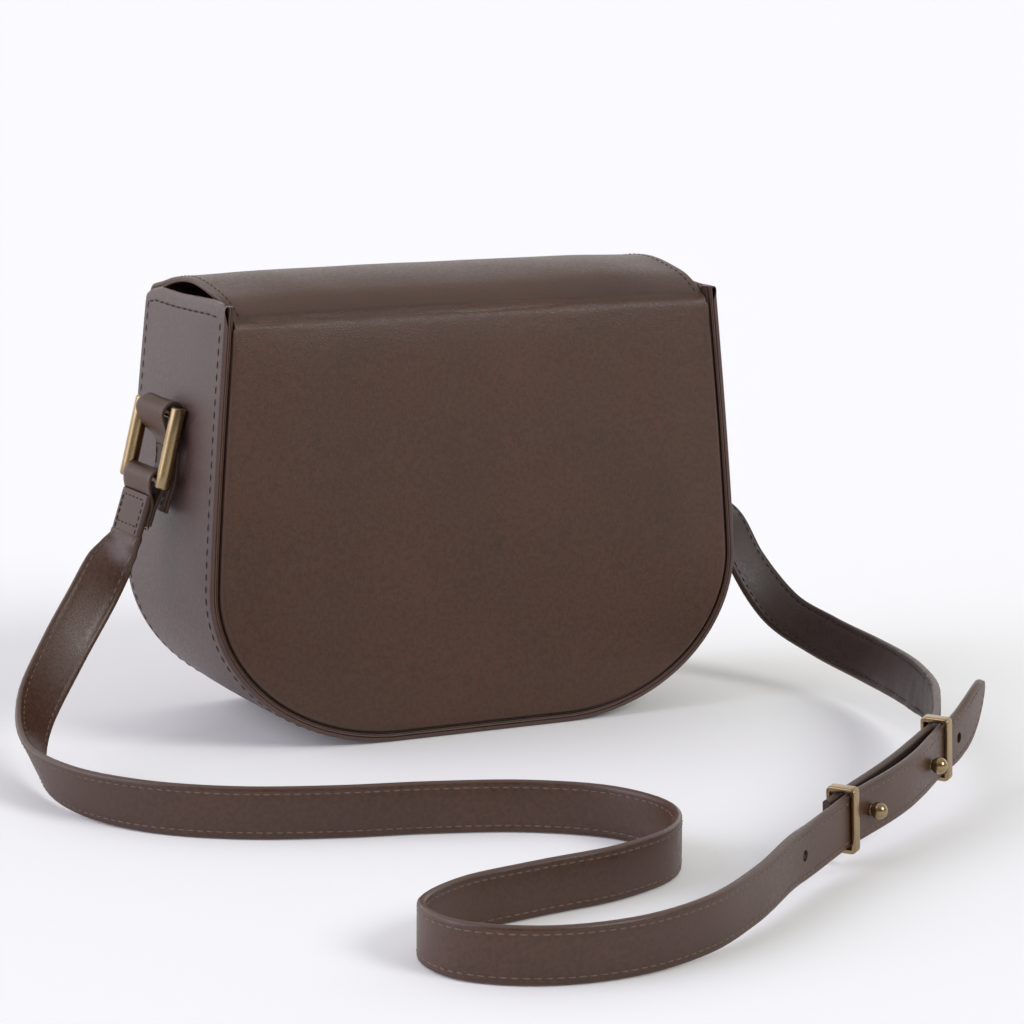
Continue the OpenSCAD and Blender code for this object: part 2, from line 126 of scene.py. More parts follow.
def lightStudio():
    world = bpy.data.worlds.new("studio")
    scene.world = world
    world.use_nodes = True
    tree = world.node_tree
    # a pale backdrop beyond the bag, bright up to eye height under a dim ceiling, and a dimmer room behind
    way = addNode(tree, "ShaderNodeTexCoord").outputs["Generated"]
    parts = addNode(tree, "ShaderNodeSeparateXYZ", {0: way}).outputs
    around = spread(tree, parts["Y"], -0.55, 0.75, studio["ahead"], studio["behind"],
                    interpolation_type="SMOOTHSTEP")
    over = spread(tree, parts["Z"], 0.3, 0.8, 1.0, studio["overhead"], interpolation_type="SMOOTHSTEP")
    sky = tree.nodes["Background"]
    feed(tree, sky, {"Color": (1, 1, 1, 1), "Strength": reckon(tree, "MULTIPLY", around, over)})
    white = addNode(tree, "ShaderNodeBackground", {"Strength": studio["white"]})
    rays = addNode(tree, "ShaderNodeLightPath").outputs["Is Camera Ray"]
    mix = addNode(tree, "ShaderNodeMixShader", {"Fac": rays, 1: sky.outputs[0], 2: white.outputs[0]})
    feed(tree, tree.nodes["World Output"], {"Surface": mix.outputs[0]})
    for name, azimuth, height, power, softness, tint in suns:
        data = bpy.data.lights.new(name, "SUN")
        data.energy, data.angle, data.color = power, math.radians(softness), studio[tint]
        a, e = math.radians(azimuth), math.radians(height)
        back = Vector((math.sin(a) * math.cos(e), -math.cos(a) * math.cos(e), math.sin(e)))
        obj = addObject(name, data)
        obj.rotation_mode = "QUATERNION"
        obj.rotation_quaternion = (-back).to_track_quat("-Z", "Y")
    scene.view_settings.view_transform = "Standard"


def layFloor():
    bm = bmesh.new()
    bmesh.ops.create_grid(bm, x_segments=2, y_segments=2, size=25)
    bmesh.ops.translate(bm, verts=bm.verts, vec=(0, 0, -0.0002))
    floor = toObject(bm, "floor")
    material = bpy.data.materials.new("paleFloor")
    material.use_nodes = True
    tree = material.node_tree
    tree.nodes.remove(tree.nodes["Principled BSDF"])
    card = addNode(tree, "ShaderNodeBsdfDiffuse", {"Color": studio["floor"]})
    glow = addNode(tree, "ShaderNodeEmission", {"Strength": studio["white"]})
    rays = addNode(tree, "ShaderNodeLightPath").outputs["Is Camera Ray"]
    share = reckon(tree, "MULTIPLY", rays, 1 - studio["shadowShare"])
    mix = addNode(tree, "ShaderNodeMixShader", {"Fac": share, 1: card.outputs[0], 2: glow.outputs[0]})
    feed(tree, tree.nodes["Material Output"], {"Surface": mix.outputs[0]})
    floor.data.materials.append(material)


aimCamera()
lightStudio()
layFloor()
print("camera, light and floor are up")


def leatherGrainGroup():
    group = bpy.data.node_groups.new("leatherGrain", "ShaderNodeTree")
    for label, kind, value in (("Color", "NodeSocketColor", (0.06, 0.04, 0.03, 1)),
                               ("Pore Size", "NodeSocketFloat", 0.7), ("Roughness", "NodeSocketFloat", 0.45),
                               ("Edge Color", "NodeSocketColor", (0.1, 0.07, 0.05, 1))):
        group.interface.new_socket(label, in_out="INPUT", socket_type=kind).default_value = value
    for label, kind in (("Color", "Color"), ("Roughness", "Float"), ("Height", "Float")):
        group.interface.new_socket(label, in_out="OUTPUT", socket_type="NodeSocket" + kind)
    taken = group.nodes.new("NodeGroupInput").outputs
    where = addNode(group, "ShaderNodeTexCoord").outputs["Object"]
    size = reckon(group, "DIVIDE", 1000.0, taken["Pore Size"])
    pores = addNode(group, "ShaderNodeTexVoronoi", {"Vector": where, "Scale": size}, feature="SMOOTH_F1")
    height = reckon(group, "ADD", pores.outputs["Distance"], cloudAt(group, where, 2100.0, 2.0))
    # the edge attribute: worn edges above 0, painted shade in folds and grooves below 0
    worn = addNode(group, "ShaderNodeAttribute", attribute_name="edge").outputs["Fac"]
    speck = cloudAt(group, where, 650.0, 2.0)
    tone = spread(group, cloudAt(group, where, 22.0, 3.0), 0.3, 0.7, 0.9, 1.1)
    dust = spread(group, speck, 0.3, 0.7, 0.78, 1.24)
    paintedShade = spread(group, worn, -1.0, 0.0, 0.25, 1.0)  # wear below 0 is painted shade, darkening the leather's colour in a fold or groove
    both = reckon(group, "MULTIPLY", reckon(group, "MULTIPLY", tone, dust), paintedShade)
    shade = addNode(group, "ShaderNodeVectorMath", {0: taken["Color"], "Scale": both}, operation="SCALE")
    mix = addNode(group, "ShaderNodeMix", {"Factor": worn, 6: shade.outputs[0], 7: taken["Edge Color"]},
                  data_type="RGBA")
    rough = reckon(group, "ADD", taken["Roughness"], spread(group, speck, 0.3, 0.7, -0.07, 0.07))
    given = group.nodes.new("NodeGroupOutput")
    feed(group, given, {"Color": mix.outputs[2], "Roughness": rough, "Height": height})
    return group


def newFinish(name):
    material = bpy.data.materials.new(name)
    material.use_nodes = True
    return material, material.node_tree, material.node_tree.nodes["Principled BSDF"]


def leatherFinish(name, color, edge, roughness, pore, depth):
    material, tree, shader = newFinish(name)
    sockets = {"Color": (*color, 1), "Edge Color": (*edge, 1), "Roughness": roughness, "Pore Size": pore}
    grain = addNode(tree, "ShaderNodeGroup", sockets, node_tree=leatherGrain).outputs
    bump = addNode(tree, "ShaderNodeBump", {"Strength": 0.5, "Distance": depth, "Height": grain["Height"]})
    feed(tree, shader, {"IOR": 1.52, "Sheen Weight": 0.0, "Base Color": grain["Color"],
                        "Roughness": grain["Roughness"], "Normal": bump.outputs[0]})
    return material


def metalFinish(name, color, dark, roughness):
    material, tree, shader = newFinish(name)
    where = addNode(tree, "ShaderNodeTexCoord").outputs["Object"]
    stain = cloudAt(tree, where, 110.0, 1.0)
    mix = addNode(tree, "ShaderNodeMix", {"Factor": spread(tree, stain, 0.35, 0.75, 0.0, 0.25),
                                          6: (*color, 1), 7: (*dark, 1)}, data_type="RGBA")
    gloss = spread(tree, stain, 0.3, 0.7, roughness - 0.02, roughness + 0.03)
    bump = addNode(tree, "ShaderNodeBump", {"Strength": 0.02, "Distance": 0.00002,
                                            "Height": cloudAt(tree, where, 900.0, 2.0)})
    feed(tree, shader, {"Metallic": 1.0, "Base Color": mix.outputs[2], "Roughness": gloss,
                        "Normal": bump.outputs[0]})
    return material


def clothFinish(name, color, thread, roughness):
    material, tree, shader = newFinish(name)
    where = addNode(tree, "ShaderNodeTexCoord").outputs["Object"]
    waves = []
    for way, turn in (("X", 0.0), ("Z", 1.5708)):
        sockets = {"Vector": where, "Scale": 1 / thread / 2, "Distortion": 0.6, "Detail": 1.0,
                   "Phase Offset": turn}
        waves.append(addNode(tree, "ShaderNodeTexWave", sockets, bands_direction=way).outputs["Fac"])
    weave = reckon(tree, "MULTIPLY", *waves)
    tone = reckon(tree, "ADD", weave, cloudAt(tree, where, 120.0, 3.0))
    bright = spread(tree, tone, 0.2, 1.3, 0.8, 1.15)
    shade = addNode(tree, "ShaderNodeVectorMath", {0: color, "Scale": bright}, operation="SCALE")
    bump = addNode(tree, "ShaderNodeBump", {"Strength": 0.6, "Distance": 0.0002, "Height": weave})
    feed(tree, shader, {"Sheen Weight": 0.15, "Base Color": shade.outputs[0], "Roughness": roughness,
                        "Normal": bump.outputs[0]})
    return material


leatherGrain = leatherGrainGroup()
leathers = {  # colour, colour of worn edges, roughness, pore size and depth
    "brownLeather": ((0.064, 0.024, 0.0103), (0.099, 0.053, 0.0355), 0.47, 0.6, 0.0002),
    # the gusset's leather is a greyer, bluer copy of the brown leather: a painted sheen of its grazing
    # reflection
    "gussetLeather": ((0.064, 0.0315, 0.027), (0.105, 0.06, 0.045), 0.44, 0.7, 0.00014),
    "strapLeather": ((0.062, 0.0255, 0.0135), (0.09, 0.05, 0.034), 0.4, 0.6, 0.0001),
    # the short strap's leather is a darker copy of the strap leather: a painted shade
    "shortLeather": ((0.034, 0.0155, 0.0105), (0.075, 0.042, 0.03), 0.5, 0.6, 0.00012),
    "darkThread": ((0.014, 0.008, 0.007), (0.014, 0.008, 0.007), 0.75, 0.3, 0.00003),
    # the long strap's thread is paler than the dark thread: partly its own colour, partly a painted highlight
    "strapThread": ((0.13, 0.085, 0.058), (0.1, 0.06, 0.04), 0.55, 0.3, 0.00003)}
brownLeather, gussetLeather, strapLeather, shortLeather, darkThread, strapThread = [
    leatherFinish(name, *values) for name, values in leathers.items()]
agedBrass = metalFinish("agedBrass", (0.36, 0.26, 0.14), (0.21, 0.145, 0.08), 0.25)
plainSteel = metalFinish("plainSteel", (0.6, 0.6, 0.62), (0.45, 0.45, 0.46), 0.3)
tanLining = clothFinish("tanLining", (0.36, 0.29, 0.22), 0.0007, 0.85)
fibreBoard = clothFinish("fibreBoard", (0.45, 0.42, 0.38), 0.0015, 0.9)
print("finishes are mixed")


def between(a, b, k):
    return a + (b - a) * k


def smooth(a, b, x):
    t = min(1.0, max(0.0, (x - a) / (b - a)))
    return t * t * (3 - 2 * t)


def hump(x, middle, reach):
    return math.exp(-((x - middle) / reach) ** 2)


def finishPiece(bm, name, material, body, replaced, sharp):
    if replaced:
        bmesh.ops.recalc_face_normals(bm, faces=bm.faces)
    bmesh.ops.scale(bm, vec=(mm, mm, mm), verts=bm.verts)
    obj = toObject(bm, name)
    obj.data.polygons.foreach_set("use_smooth", [True] * len(obj.data.polygons))
    obj.data.set_sharp_from_angle(angle=math.radians(sharp))
    obj.data.materials.append(material)
    if body:
        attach(obj, body)
    if replaced:
        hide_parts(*replaced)
    return obj


def finishStitches(bm, name, thread, body):
    return finishPiece(bm, name, thread, body, (), 180)


def bendSheet(bm, columns, rows, place):
    # a flat grid whose corners go where place(column, row) says; place may add a share of edge wear, or below
    # 0 of painted shade
    edge = bm.verts.layers.float.get("edge") or bm.verts.layers.float.new("edge")
    made = bmesh.ops.create_grid(bm, x_segments=columns, y_segments=rows, size=0.5)["verts"]
    for v in made:
        point = place(round((v.co.x + 0.5) * columns), round((v.co.y + 0.5) * rows))
        v.co = point[:3]
        v[edge] = point[3] if len(point) > 3 else 0
    bmesh.ops.remove_doubles(bm, verts=made, dist=weld)


def thicken(bm, thick):
    bmesh.ops.recalc_face_normals(bm, faces=bm.faces)
    bmesh.ops.solidify(bm, geom=bm.faces, thickness=thick)


def closeEnds(bm):
    edges = [e for e in bm.edges if e.is_boundary]
    if edges:
        bmesh.ops.holes_fill(bm, edges=edges, sides=0)


def mirrorTo(bm, side):
    if side < 0:
        bmesh.ops.scale(bm, vec=(-1, 1, 1), verts=bm.verts)
        bmesh.ops.reverse_faces(bm, faces=bm.faces)


def layStitches(bm, places, seam):
    # one stitch at each (middle, along, outward): a thread that dips into the leather at both ends
    length, width, rise = seam["stitch"], seam["thread"], seam["rise"]
    for middle, along, outward in places:
        side = along.cross(outward).normalized()
        made = bmesh.ops.create_grid(bm, x_segments=4, y_segments=4, size=0.5)["verts"]
        for v in made:
            s, a = v.co.x * 2, math.pi * (v.co.y + 0.5)
            arch = max(0.0, 1 - s * s)
            thick = width / 2 * (0.55 + 0.45 * arch)
            v.co = (middle + along * (s * length / 2) + side * (thick * math.cos(a))
                    + outward * (rise * arch * 0.6 - 0.12 + math.sin(a) * thick * 0.9))


def resample(points, step):
    # places a step apart on a line of points, each with its heading
    out, need = [], step / 2
    for a, b in zip(points, points[1:]):
        span = (b - a).length
        while need <= span:
            out.append((a.lerp(b, need / span), (b - a).normalized()))
            need += step
        need -= span
    return out


def stitchRow(bm, line, outs, seam):
    # stitches along a line, whose points each have an outward direction
    laid = []
    for middle, along in resample(line, seam["pitch"]):
        near = min(range(len(line)), key=lambda i: (line[i] - middle).length_squared)
        laid.append((middle, along, outs[near]))
    layStitches(bm, laid, seam)


def smoothLine(route, parts):
    # a centripetal curve through every point of a route, whose points may carry more than a place
    rows = [Vector(r) for r in route]
    rows = [rows[0] * 2 - rows[1], *rows, rows[-1] * 2 - rows[-2]]
    out = []
    for i in range(1, len(rows) - 2):
        four = rows[i - 1:i + 3]
        t = [0.0]
        for a, b in zip(four, four[1:]):
            t.append(t[-1] + math.dist(a[:3], b[:3]) ** 0.5)
        for k in range(parts):
            x = t[1] + (t[2] - t[1]) * k / parts
            near = [four[j].lerp(four[j + 1], (x - t[j]) / (t[j + 1] - t[j])) for j in range(3)]
            mid = [near[j].lerp(near[j + 1], (x - t[j]) / (t[j + 2] - t[j])) for j in range(2)]
            out.append(mid[0].lerp(mid[1], (x - t[1]) / (t[2] - t[1])))
    return out + [rows[-2]]


def bandFrames(points, widthAt):
    # each point with its heading, the direction of the width and the direction of the thickness
    out = []
    for i, p in enumerate(points):
        t = (points[min(i + 1, len(points) - 1)] - points[max(i - 1, 0)]).normalized()
        u = widthAt(i, t)
        out.append((p, t, u, t.cross(u)))
    return out


def pathFrames(places, sides):
    return bandFrames(places, lambda i, t: (sides[i] - t * sides[i].dot(t)).normalized())


def sweepBand(bm, frames, section, lift=lambda q, x, y, row: 0.0):
    # section(row) gives (across, out, edge wear) round the band, and lift moves its surface out
    count = len(section(0))

    def place(column, row):
        p, t, u, w = frames[row]
        x, y, edge = section(row)[column % count]
        q = p + u * x + w * y
        return (*(q + w * lift(q, x, y, row)), edge)

    bendSheet(bm, count, len(frames) - 1, place)
    closeEnds(bm)


def roundCorners(a, b, r, angles):
    # the four corners of a rounded rectangle: across, up, direction
    for cx, cy, start in ((a, b, 0), (-a, b, 90), (-a, -b, 180), (a, -b, 270)):
        for k in angles:
            t = math.radians(start + k)
            yield cx + r * math.cos(t), cy + r * math.sin(t), t


roundedStops = 22


def rounded(width, thick, r, puff):
    # a rounded rectangle, a little full on its wide faces: across, out, edge wear
    a, b = width / 2 - r, thick / 2 - r
    out = [(x, y, 1.0) for x, y, t in roundCorners(a, b, r, (0, 30, 60, 90))]
    face = [(1.6 * a * f, thick / 2 + puff, 0.0) for f in (0.5, 0.0, -0.5)]
    return out[:4] + face + out[4:12] + [(-x, -y, e) for x, y, e in face] + out[12:]


def turnProfile(bm, profile, middle, turn, steps):
    # spins a profile of (radius, height) about the turned upright axis
    verts = [bm.verts.new((r, 0, h)) for r, h in profile]
    edges = [bm.edges.new(pair) for pair in zip(verts, verts[1:])]
    bmesh.ops.spin(bm, geom=verts + edges, cent=(0, 0, 0), axis=(0, 0, 1), angle=2 * math.pi, steps=steps,
                   use_merge=True)
    fresh = [v for v in bm.verts if v.link_edges and not v.tag]
    for v in fresh:
        v.co = middle + turn @ v.co
        v.tag = True
    bmesh.ops.remove_doubles(bm, verts=fresh, dist=2 * weld)
    for v in bm.verts:
        v.tag = True


strap = {"width": 20, "thick": 3, "round": 0.9, "hole": 4.2, "seamIn": 2.7}
strapSeam = {"pitch": 3.7, "stitch": 2.5, "thread": 0.62, "rise": 0.3}
# where the two straps lie together: distances s run along the join from its start
joint = {"start": (-20.6, 293, 16.2), "heading": 214, "climb": 5.2, "gap": 4.2, "studs": (26, 80),
         "keepers": (13, 98.5), "spareHoles": (-28, 112), "shortEnd": 3.5, "bow": 3.8, "shortBow": 1.7,
         "tipFrom": 118, "tipLine": (118, 124, 130, 135, 139, 142, 144.5, 146.1), "tipTurn": (0.002, 0.0068)}
# each point: place, and how far the band leans from standing on edge
longRoute = [
    [136.85, -0.68, 86.3, 76], [137.56, -0.7, 84, 72], [140.2, -0.9, 79.6, 62], [144.4, -0.6, 74.2, 55],
    [153.8, 3.8, 61.6, 49], [170.5, 15.5, 43.5, 44], [190.5, 37.5, 24, 35], [200.5, 69, 13, 25],
    [197.5, 104, 10.5, 13], [181.5, 135, 10, 3], [155, 158, 10, 0], [121.5, 172.5, 10, 0],
    [85.5, 182.5, 10, 0], [52, 196, 10, 0], [27.5, 217.5, 10, 0], [20, 246.5, 10, 0], [33, 272, 10, 0],
    [61.5, 287, 10, 0], [97.5, 293, 10, 0], [131.5, 301, 10, 0], [153, 318.5, 10, 0], [152, 342.5, 10, 0],
    [130.5, 360.5, 10, 0], [98.5, 365, 10, 0], [65.5, 355.5, 10.5, 0], [36, 336.5, 12, 0],
    [8.5, 313.5, 14, 0]]
shortRoute = [
    [-134.22, -1.27, 85.17, -76], [-134.96, -1.3, 82.78, -76], [-138.2, -1.6, 79.6, -75],
    [-142.7, -1.9, 75.1, -73], [-149.5, 6, 53.5, -67], [-158.5, 23, 33, -52], [-166.5, 45, 24.5, -40],
    [-169.5, 78, 20.5, -28], [-164.5, 110.5, 20.5, -18], [-154.5, 142, 22, -7], [-141, 172.5, 24, 0],
    [-124, 200.5, 25, 0]]

heading, climb = math.radians(joint["heading"]), math.radians(joint["climb"])
cosH, sinH = math.cos(heading), math.sin(heading)
joinAlong = Vector((math.cos(climb) * cosH, math.cos(climb) * sinH, math.sin(climb)))
joinSide = Vector((-sinH, cosH, 0))
joinUp = joinAlong.cross(joinSide)
joinTurn = Matrix((joinAlong, joinSide, joinUp)).transposed()


def joinPoint(s, off=0.0, up=0.0):
    return Vector(joint["start"]) + joinAlong * s + joinSide * off + joinUp * up


def tipPoint(s):
    # the free tip turns away from the short strap's line and up
    away, up = joint["tipTurn"]
    far = max(0.0, s - 105) ** 2
    return joinPoint(s, far * away, far * up)


def bowed(s, bow):
    # between the keepers the straps stand off towards the ball's side
    lower, upper = joint["keepers"]
    return -bow * math.sin(math.pi * min(1.0, max(0.0, (s - lower) / (upper - lower)))) ** 1.25


def strapFrames(route):
    def widthAt(i, t):
        v = (Vector((0, 0, 1)) - t * t.z).normalized()
        a = math.radians(route[i][3])
        return v * math.cos(a) + t.cross(v) * math.sin(a)

    return bandFrames([Vector(r[:3]) for r in route], widthAt)


def strapSection(width):
    # half round edges, faces that swell a little between the seams: (across, out, edge wear)
    b, r = strap["thick"] / 2, strap["round"]
    half, seam = width / 2, strap["seamIn"] * width / strap["width"]
    face = [(-half + r, b), (-half + seam * 0.75, b + 0.04), (-half + seam, b - 0.10),
            (-half + seam * 1.3, b + 0.03), (-half * 0.4, b + 0.08), (0, b + 0.1)]
    face = face + [(-x, y) for x, y in reversed(face[:-1])]
    turn = [(half - r + r * math.sin(a), (b - 0.25) * math.cos(a)) for a in (0.5, 1.05, 1.57, 2.09, 2.64)]
    ring = [(x, y, 0.0) for x, y in face] + [(x, y, 1.0) for x, y in turn]
    return ring + [(-x, -y, e) for x, y, e in ring]


def makeStrap(name, route, shares, node, material, wrinkle=None):
    frames = strapFrames(route)
    bm = bmesh.new()

    def lift(q, x, y, row):
        soft = noise.noise(q * 0.05) * 0.12 + noise.noise(q * 0.2) * 0.04
        if wrinkle:
            soft += wrinkle(x, y, row / len(frames))
        return soft if y > 0 else -soft * 0.4 if y < 0 else 0

    sweepBand(bm, frames, lambda row: strapSection(strap["width"] * shares[row]), lift)
    return finishPiece(bm, name, material, "bag", (node,), 60), frames


def punchHoles(piece, frames):
    # the spare holes are cut right through the strap
    bm = bmesh.new()
    r = strap["hole"] / 2
    for s in joint["spareHoles"]:
        p, t, u, w = min(frames, key=lambda f: (f[0] - joinPoint(s)).length)
        made = bmesh.ops.create_cone(bm, cap_ends=True, segments=28, radius1=r, radius2=r,
                                     depth=4 * strap["thick"])["verts"]
        bmesh.ops.transform(bm, matrix=Matrix((u, t, w)).transposed().to_4x4(), verts=made)
        bmesh.ops.translate(bm, vec=p, verts=made)
    bmesh.ops.scale(bm, vec=(mm, mm, mm), verts=bm.verts)
    bmesh.ops.recalc_face_normals(bm, faces=bm.faces)
    punch = toObject(bm, "punch")
    cut = piece.modifiers.new("holes", "BOOLEAN")
    cut.operation, cut.object, cut.solver = "DIFFERENCE", punch, "EXACT"
    bpy.context.view_layer.update()
    holed = bpy.data.meshes.new_from_object(piece.evaluated_get(bpy.context.evaluated_depsgraph_get()))
    piece.modifiers.clear()
    piece.data = holed
    bpy.data.objects.remove(punch)


def strapStitches(name, frames, shares, thread):
    bm = bmesh.new()
    for edge in (-1, 1):
        for face in (-1, 1):
            line, outs = [], []
            for (p, t, u, w), k in zip(frames, shares):
                out = strap["width"] / 2 * k - strap["seamIn"]
                if out > 0.8:
                    line.append(p + u * (edge * out) + w * (face * (strap["thick"] / 2 - 0.05)))
                    outs.append(w * face)
            stitchRow(bm, line, outs, strapSeam)
    return finishStitches(bm, name, thread, "bag")


def layLongStrap():
    start = Vector(joint["start"])
    route = [*longRoute, [*joinPoint(-20), 0], [*start, 0]]
    route += [[*joinPoint(s, bowed(s, joint["bow"])), 0] for s in (12, 26, 41, 56, 71, 85, 99, 109)]
    route = smoothLine(route + [[*tipPoint(s), 0] for s in joint["tipLine"]], 6)
    shares = []
    for r in route:
        s = (Vector(r[:3]) - start).dot(joinAlong)
        reach = (s - joint["tipFrom"]) / (joint["tipLine"][-1] + 0.4 - joint["tipFrom"])
        near = s > joint["tipFrom"] and (Vector(r[:3]) - tipPoint(s)).length < 2
        shares.append(max(0.14, max(0.0, 1 - reach * reach) ** 0.47) if near else 1.0)
    piece, frames = makeStrap("strapLong", route, shares, "strap_long", strapLeather)
    punchHoles(piece, frames)
    return piece, frames, strapStitches("strapLongStitches", frames, shares, strapThread)


def layShortStrap():
    route = shortRoute + [[*joinPoint(s, joint["gap"] + bowed(s, joint["shortBow"])), 0]
                          for s in (98, 85, 71, 56, 41, 26, 12, joint["shortEnd"])]
    route = smoothLine(route, 13)
    even = [1.0] * len(route)

    def creased(x, y, share):
        reach = max(0.0, 1 - abs(share - 0.5) / 0.2)
        return reach * 0.9 * noise.noise(Vector((share * 110, x * 0.07, 0 if y > 0 else 3)))

    piece, frames = makeStrap("strapShort", route, even, "strap_short", shortLeather, creased)
    return piece, frames, strapStitches("strapShortStitches", frames, even, darkThread)


def pathLength(frames):
    return sum((b[0] - a[0]).length for a, b in zip(frames, frames[1:]))


keeper = {"face": 1.7, "bar": 2.0, "width": 4.4, "play": 0.4, "corner": 0.95, "round": 0.5}
stud = {"ball": 6.4, "neck": 3.6, "foot": 7.6, "screw": 2.4, "head": 7.6, "headThick": 1.2}


def makeKeeper(name, s, node):
    bm = bmesh.new()
    deep = strap["thick"] + joint["gap"] + 2 * keeper["play"] + keeper["face"]
    high = strap["width"] + 2 * keeper["play"] + keeper["bar"]
    r = keeper["corner"]
    corners = list(roundCorners(deep / 2 - r, high / 2 - r, r, range(0, 91, 15)))
    middle = joinPoint(s, joint["gap"] / 2)

    def place(column, row):
        y, z, t = corners[row % len(corners)]
        thick = between(keeper["face"], keeper["bar"], math.sin(t) ** 2)
        x, out, edge = rounded(keeper["width"], thick, keeper["round"], 0.02)[column % roundedStops]
        return (*(middle + joinTurn @ Vector((x, y + out * math.cos(t), z + out * math.sin(t)))), edge)

    bendSheet(bm, roundedStops, len(corners), place)
    return finishPiece(bm, name, agedBrass, node, (node,), 60)


def makeStuds():
    bm = bmesh.new()
    turn = joinTurn @ Matrix.Rotation(math.pi / 2, 3, "X")
    half, foot, neck, ball = strap["thick"] / 2, stud["foot"] / 2, stud["neck"] / 2, stud["ball"] / 2
    for s in joint["studs"]:
        rise, low = -bowed(s, joint["bow"]), -bowed(s, joint["shortBow"])
        middle, deep = half + ball, half - joint["gap"] - rise + low
        profile = [(1.2, deep), (foot - 0.2, deep), (foot, deep + 0.2), (foot, -half - 0.25),
                   (foot - 0.25, -half), (neck, -half + 0.02), (neck, half + 0.2), (neck + 0.35, half + 0.35)]
        turns = [math.radians(a) for a in range(-50, 81, 10)]
        profile += [(ball * math.cos(a), middle + ball * math.sin(a)) for a in turns] + [(0, middle + ball)]
        turnProfile(bm, profile, joinPoint(s, -rise), turn, 40)
    studs = finishPiece(bm, "ballStuds", agedBrass, "bag", ("studs",), 50)
    bm = bmesh.new()
    back, r, t, screw = -joint["gap"] - half, stud["head"] / 2, stud["headThick"], stud["screw"] / 2
    profile = [(0, back - t), (0.5, back - t), (0.5, back - t * 0.5), (0.9, back - t * 0.5), (0.9, back - t),
               (r * 0.6, back - t * 0.98), (r * 0.85, back - t * 0.8), (r, back - t * 0.4), (r, back),
               (screw, back), (screw, -half), (0, -half)]
    for s in joint["studs"]:
        turnProfile(bm, profile, joinPoint(s, bowed(s, joint["shortBow"])), turn, 28)
    return studs, finishPiece(bm, "studScrews", agedBrass, "bag", ("stud_screws",), 50)


keepers = [makeKeeper("keeper" + name.capitalize(), s, "keeper_" + name)
           for name, s in zip(("lower", "upper"), joint["keepers"])]
studs = makeStuds()
straps = layLongStrap(), layShortStrap()
print("straps", *(round(pathLength(frames)) for piece, frames, thread in straps))

# the body's outline; halfRun is its length from the middle of the base to the top
body = {"height": 180, "top": 222, "wide": 240, "wideAt": 67, "flat": 76, "topDepth": 88, "bottomDepth": 100,
        "curve": 1.2, "leather": 1.7, "proud": 1, "groove": 0.8, "hem": 12, "frontTop": 176, "halfRun": 269,
        "flatShare": 0.142, "cornerShare": 0.578}
faceIn = 2 * body["leather"] + body["groove"]
lean = math.atan((body["bottomDepth"] - body["topDepth"]) / 2 / body["height"])


def rimY(z):
    return body["bottomDepth"] / 2 - z * math.tan(lean)


def sideX(z):
    share = max(0.0, (z - body["wideAt"]) / (body["height"] - body["wideAt"]))
    return body["wide"] / 2 - (body["wide"] - body["top"]) / 2 * share ** body["curve"]


def sideSlope(z):
    return (sideX(z + 0.05) - sideX(z - 0.05)) / 0.1


def outlineAt(s, inset, top):
    # the body's outline at s, from -1 at the top left over the base to 1 at the top right, moved in by inset
    a, flat = abs(s), body["flat"] / 2
    if a <= body["flatShare"]:
        x, z = flat * a / body["flatShare"], inset
    elif a <= body["cornerShare"]:
        turn = math.pi / 2 * (1 - (a - body["flatShare"]) / (body["cornerShare"] - body["flatShare"]))
        rx, rz = (body["wide"] - body["flat"]) / 2, body["wideAt"]
        n = Vector((math.cos(turn) / rx, -math.sin(turn) / rz)).normalized()
        x, z = flat + rx * math.cos(turn) - inset * n.x, rz - rz * math.sin(turn) - inset * n.y
    else:
        slope = sideSlope(top)
        high = top - inset * slope / math.hypot(1, slope)
        z = body["wideAt"] + (high - body["wideAt"]) * (a - body["cornerShare"]) / (1 - body["cornerShare"])
        slope = sideSlope(z)
        k = math.hypot(1, slope)
        x, z = sideX(z) - inset / k, z + inset * slope / k
    return math.copysign(x, s), z


def sideRun(fine, step, span):
    # values of s round the outline, from top to top, a fine step apart within a span of the top
    corner, along = body["cornerShare"], body["halfRun"] * (1 - body["cornerShare"])
    half = [0.0] + [body["flatShare"] * i / 9 for i in range(1, 10)]
    half += [body["flatShare"] + (corner - body["flatShare"]) * i / 36 for i in range(1, 37)]
    far, down = [], 0.0
    while down < along - step:
        far.append(1 - (1 - corner) * down / along)
        down += fine if down < span else step
    half += reversed(far)
    return [-v for v in reversed(half[1:])] + half


# the flap goes from its hinge line over a fold, the top's dome and a second fold, then straight down
flapShape = {"bend": 5, "slope": 24, "thick": 3.3, "gap": 2.4, "low": 42, "roundFrom": 100, "flat": 52,
             "foldSteps": 24, "domeSteps": 60, "endFrom": 70, "endTo": 104, "endRise": 2.2, "endSink": 1.3,
             "creaseLine": ((-107, 7.6), (-99, 6.6), (-80, 6.8), (-58, 6.6), (-28, 5.3), (7, 4.1), (60, 4.2),
                            (97, 4.6), (103, 5.9), (107, 7.9))}
domeSlope = math.radians(flapShape["slope"])
foldR = flapShape["bend"] / (math.cos(lean) - math.sin(domeSlope))
foldZ = body["height"] - foldR * math.cos(domeSlope)
hingeZ = foldZ + foldR * math.sin(lean)
hingeY = rimY(hingeZ) + body["proud"]
backY = hingeY - foldR * math.cos(lean)
dropOff = body["proud"] + (flapShape["gap"] + flapShape["thick"]) / math.cos(lean)
frontY = foldR * math.cos(lean) - rimY(hingeZ) - dropOff


def foldArc(y, start):
    # one of the two folds, which turn by the same angle: place and outward direction
    steps = flapShape["foldSteps"]
    angles = [start + (math.pi / 2 - domeSlope - lean) * i / steps for i in range(steps + 1)]
    return [(y + foldR * math.cos(a), foldZ + foldR * math.sin(a), math.cos(a), math.sin(a)) for a in angles]


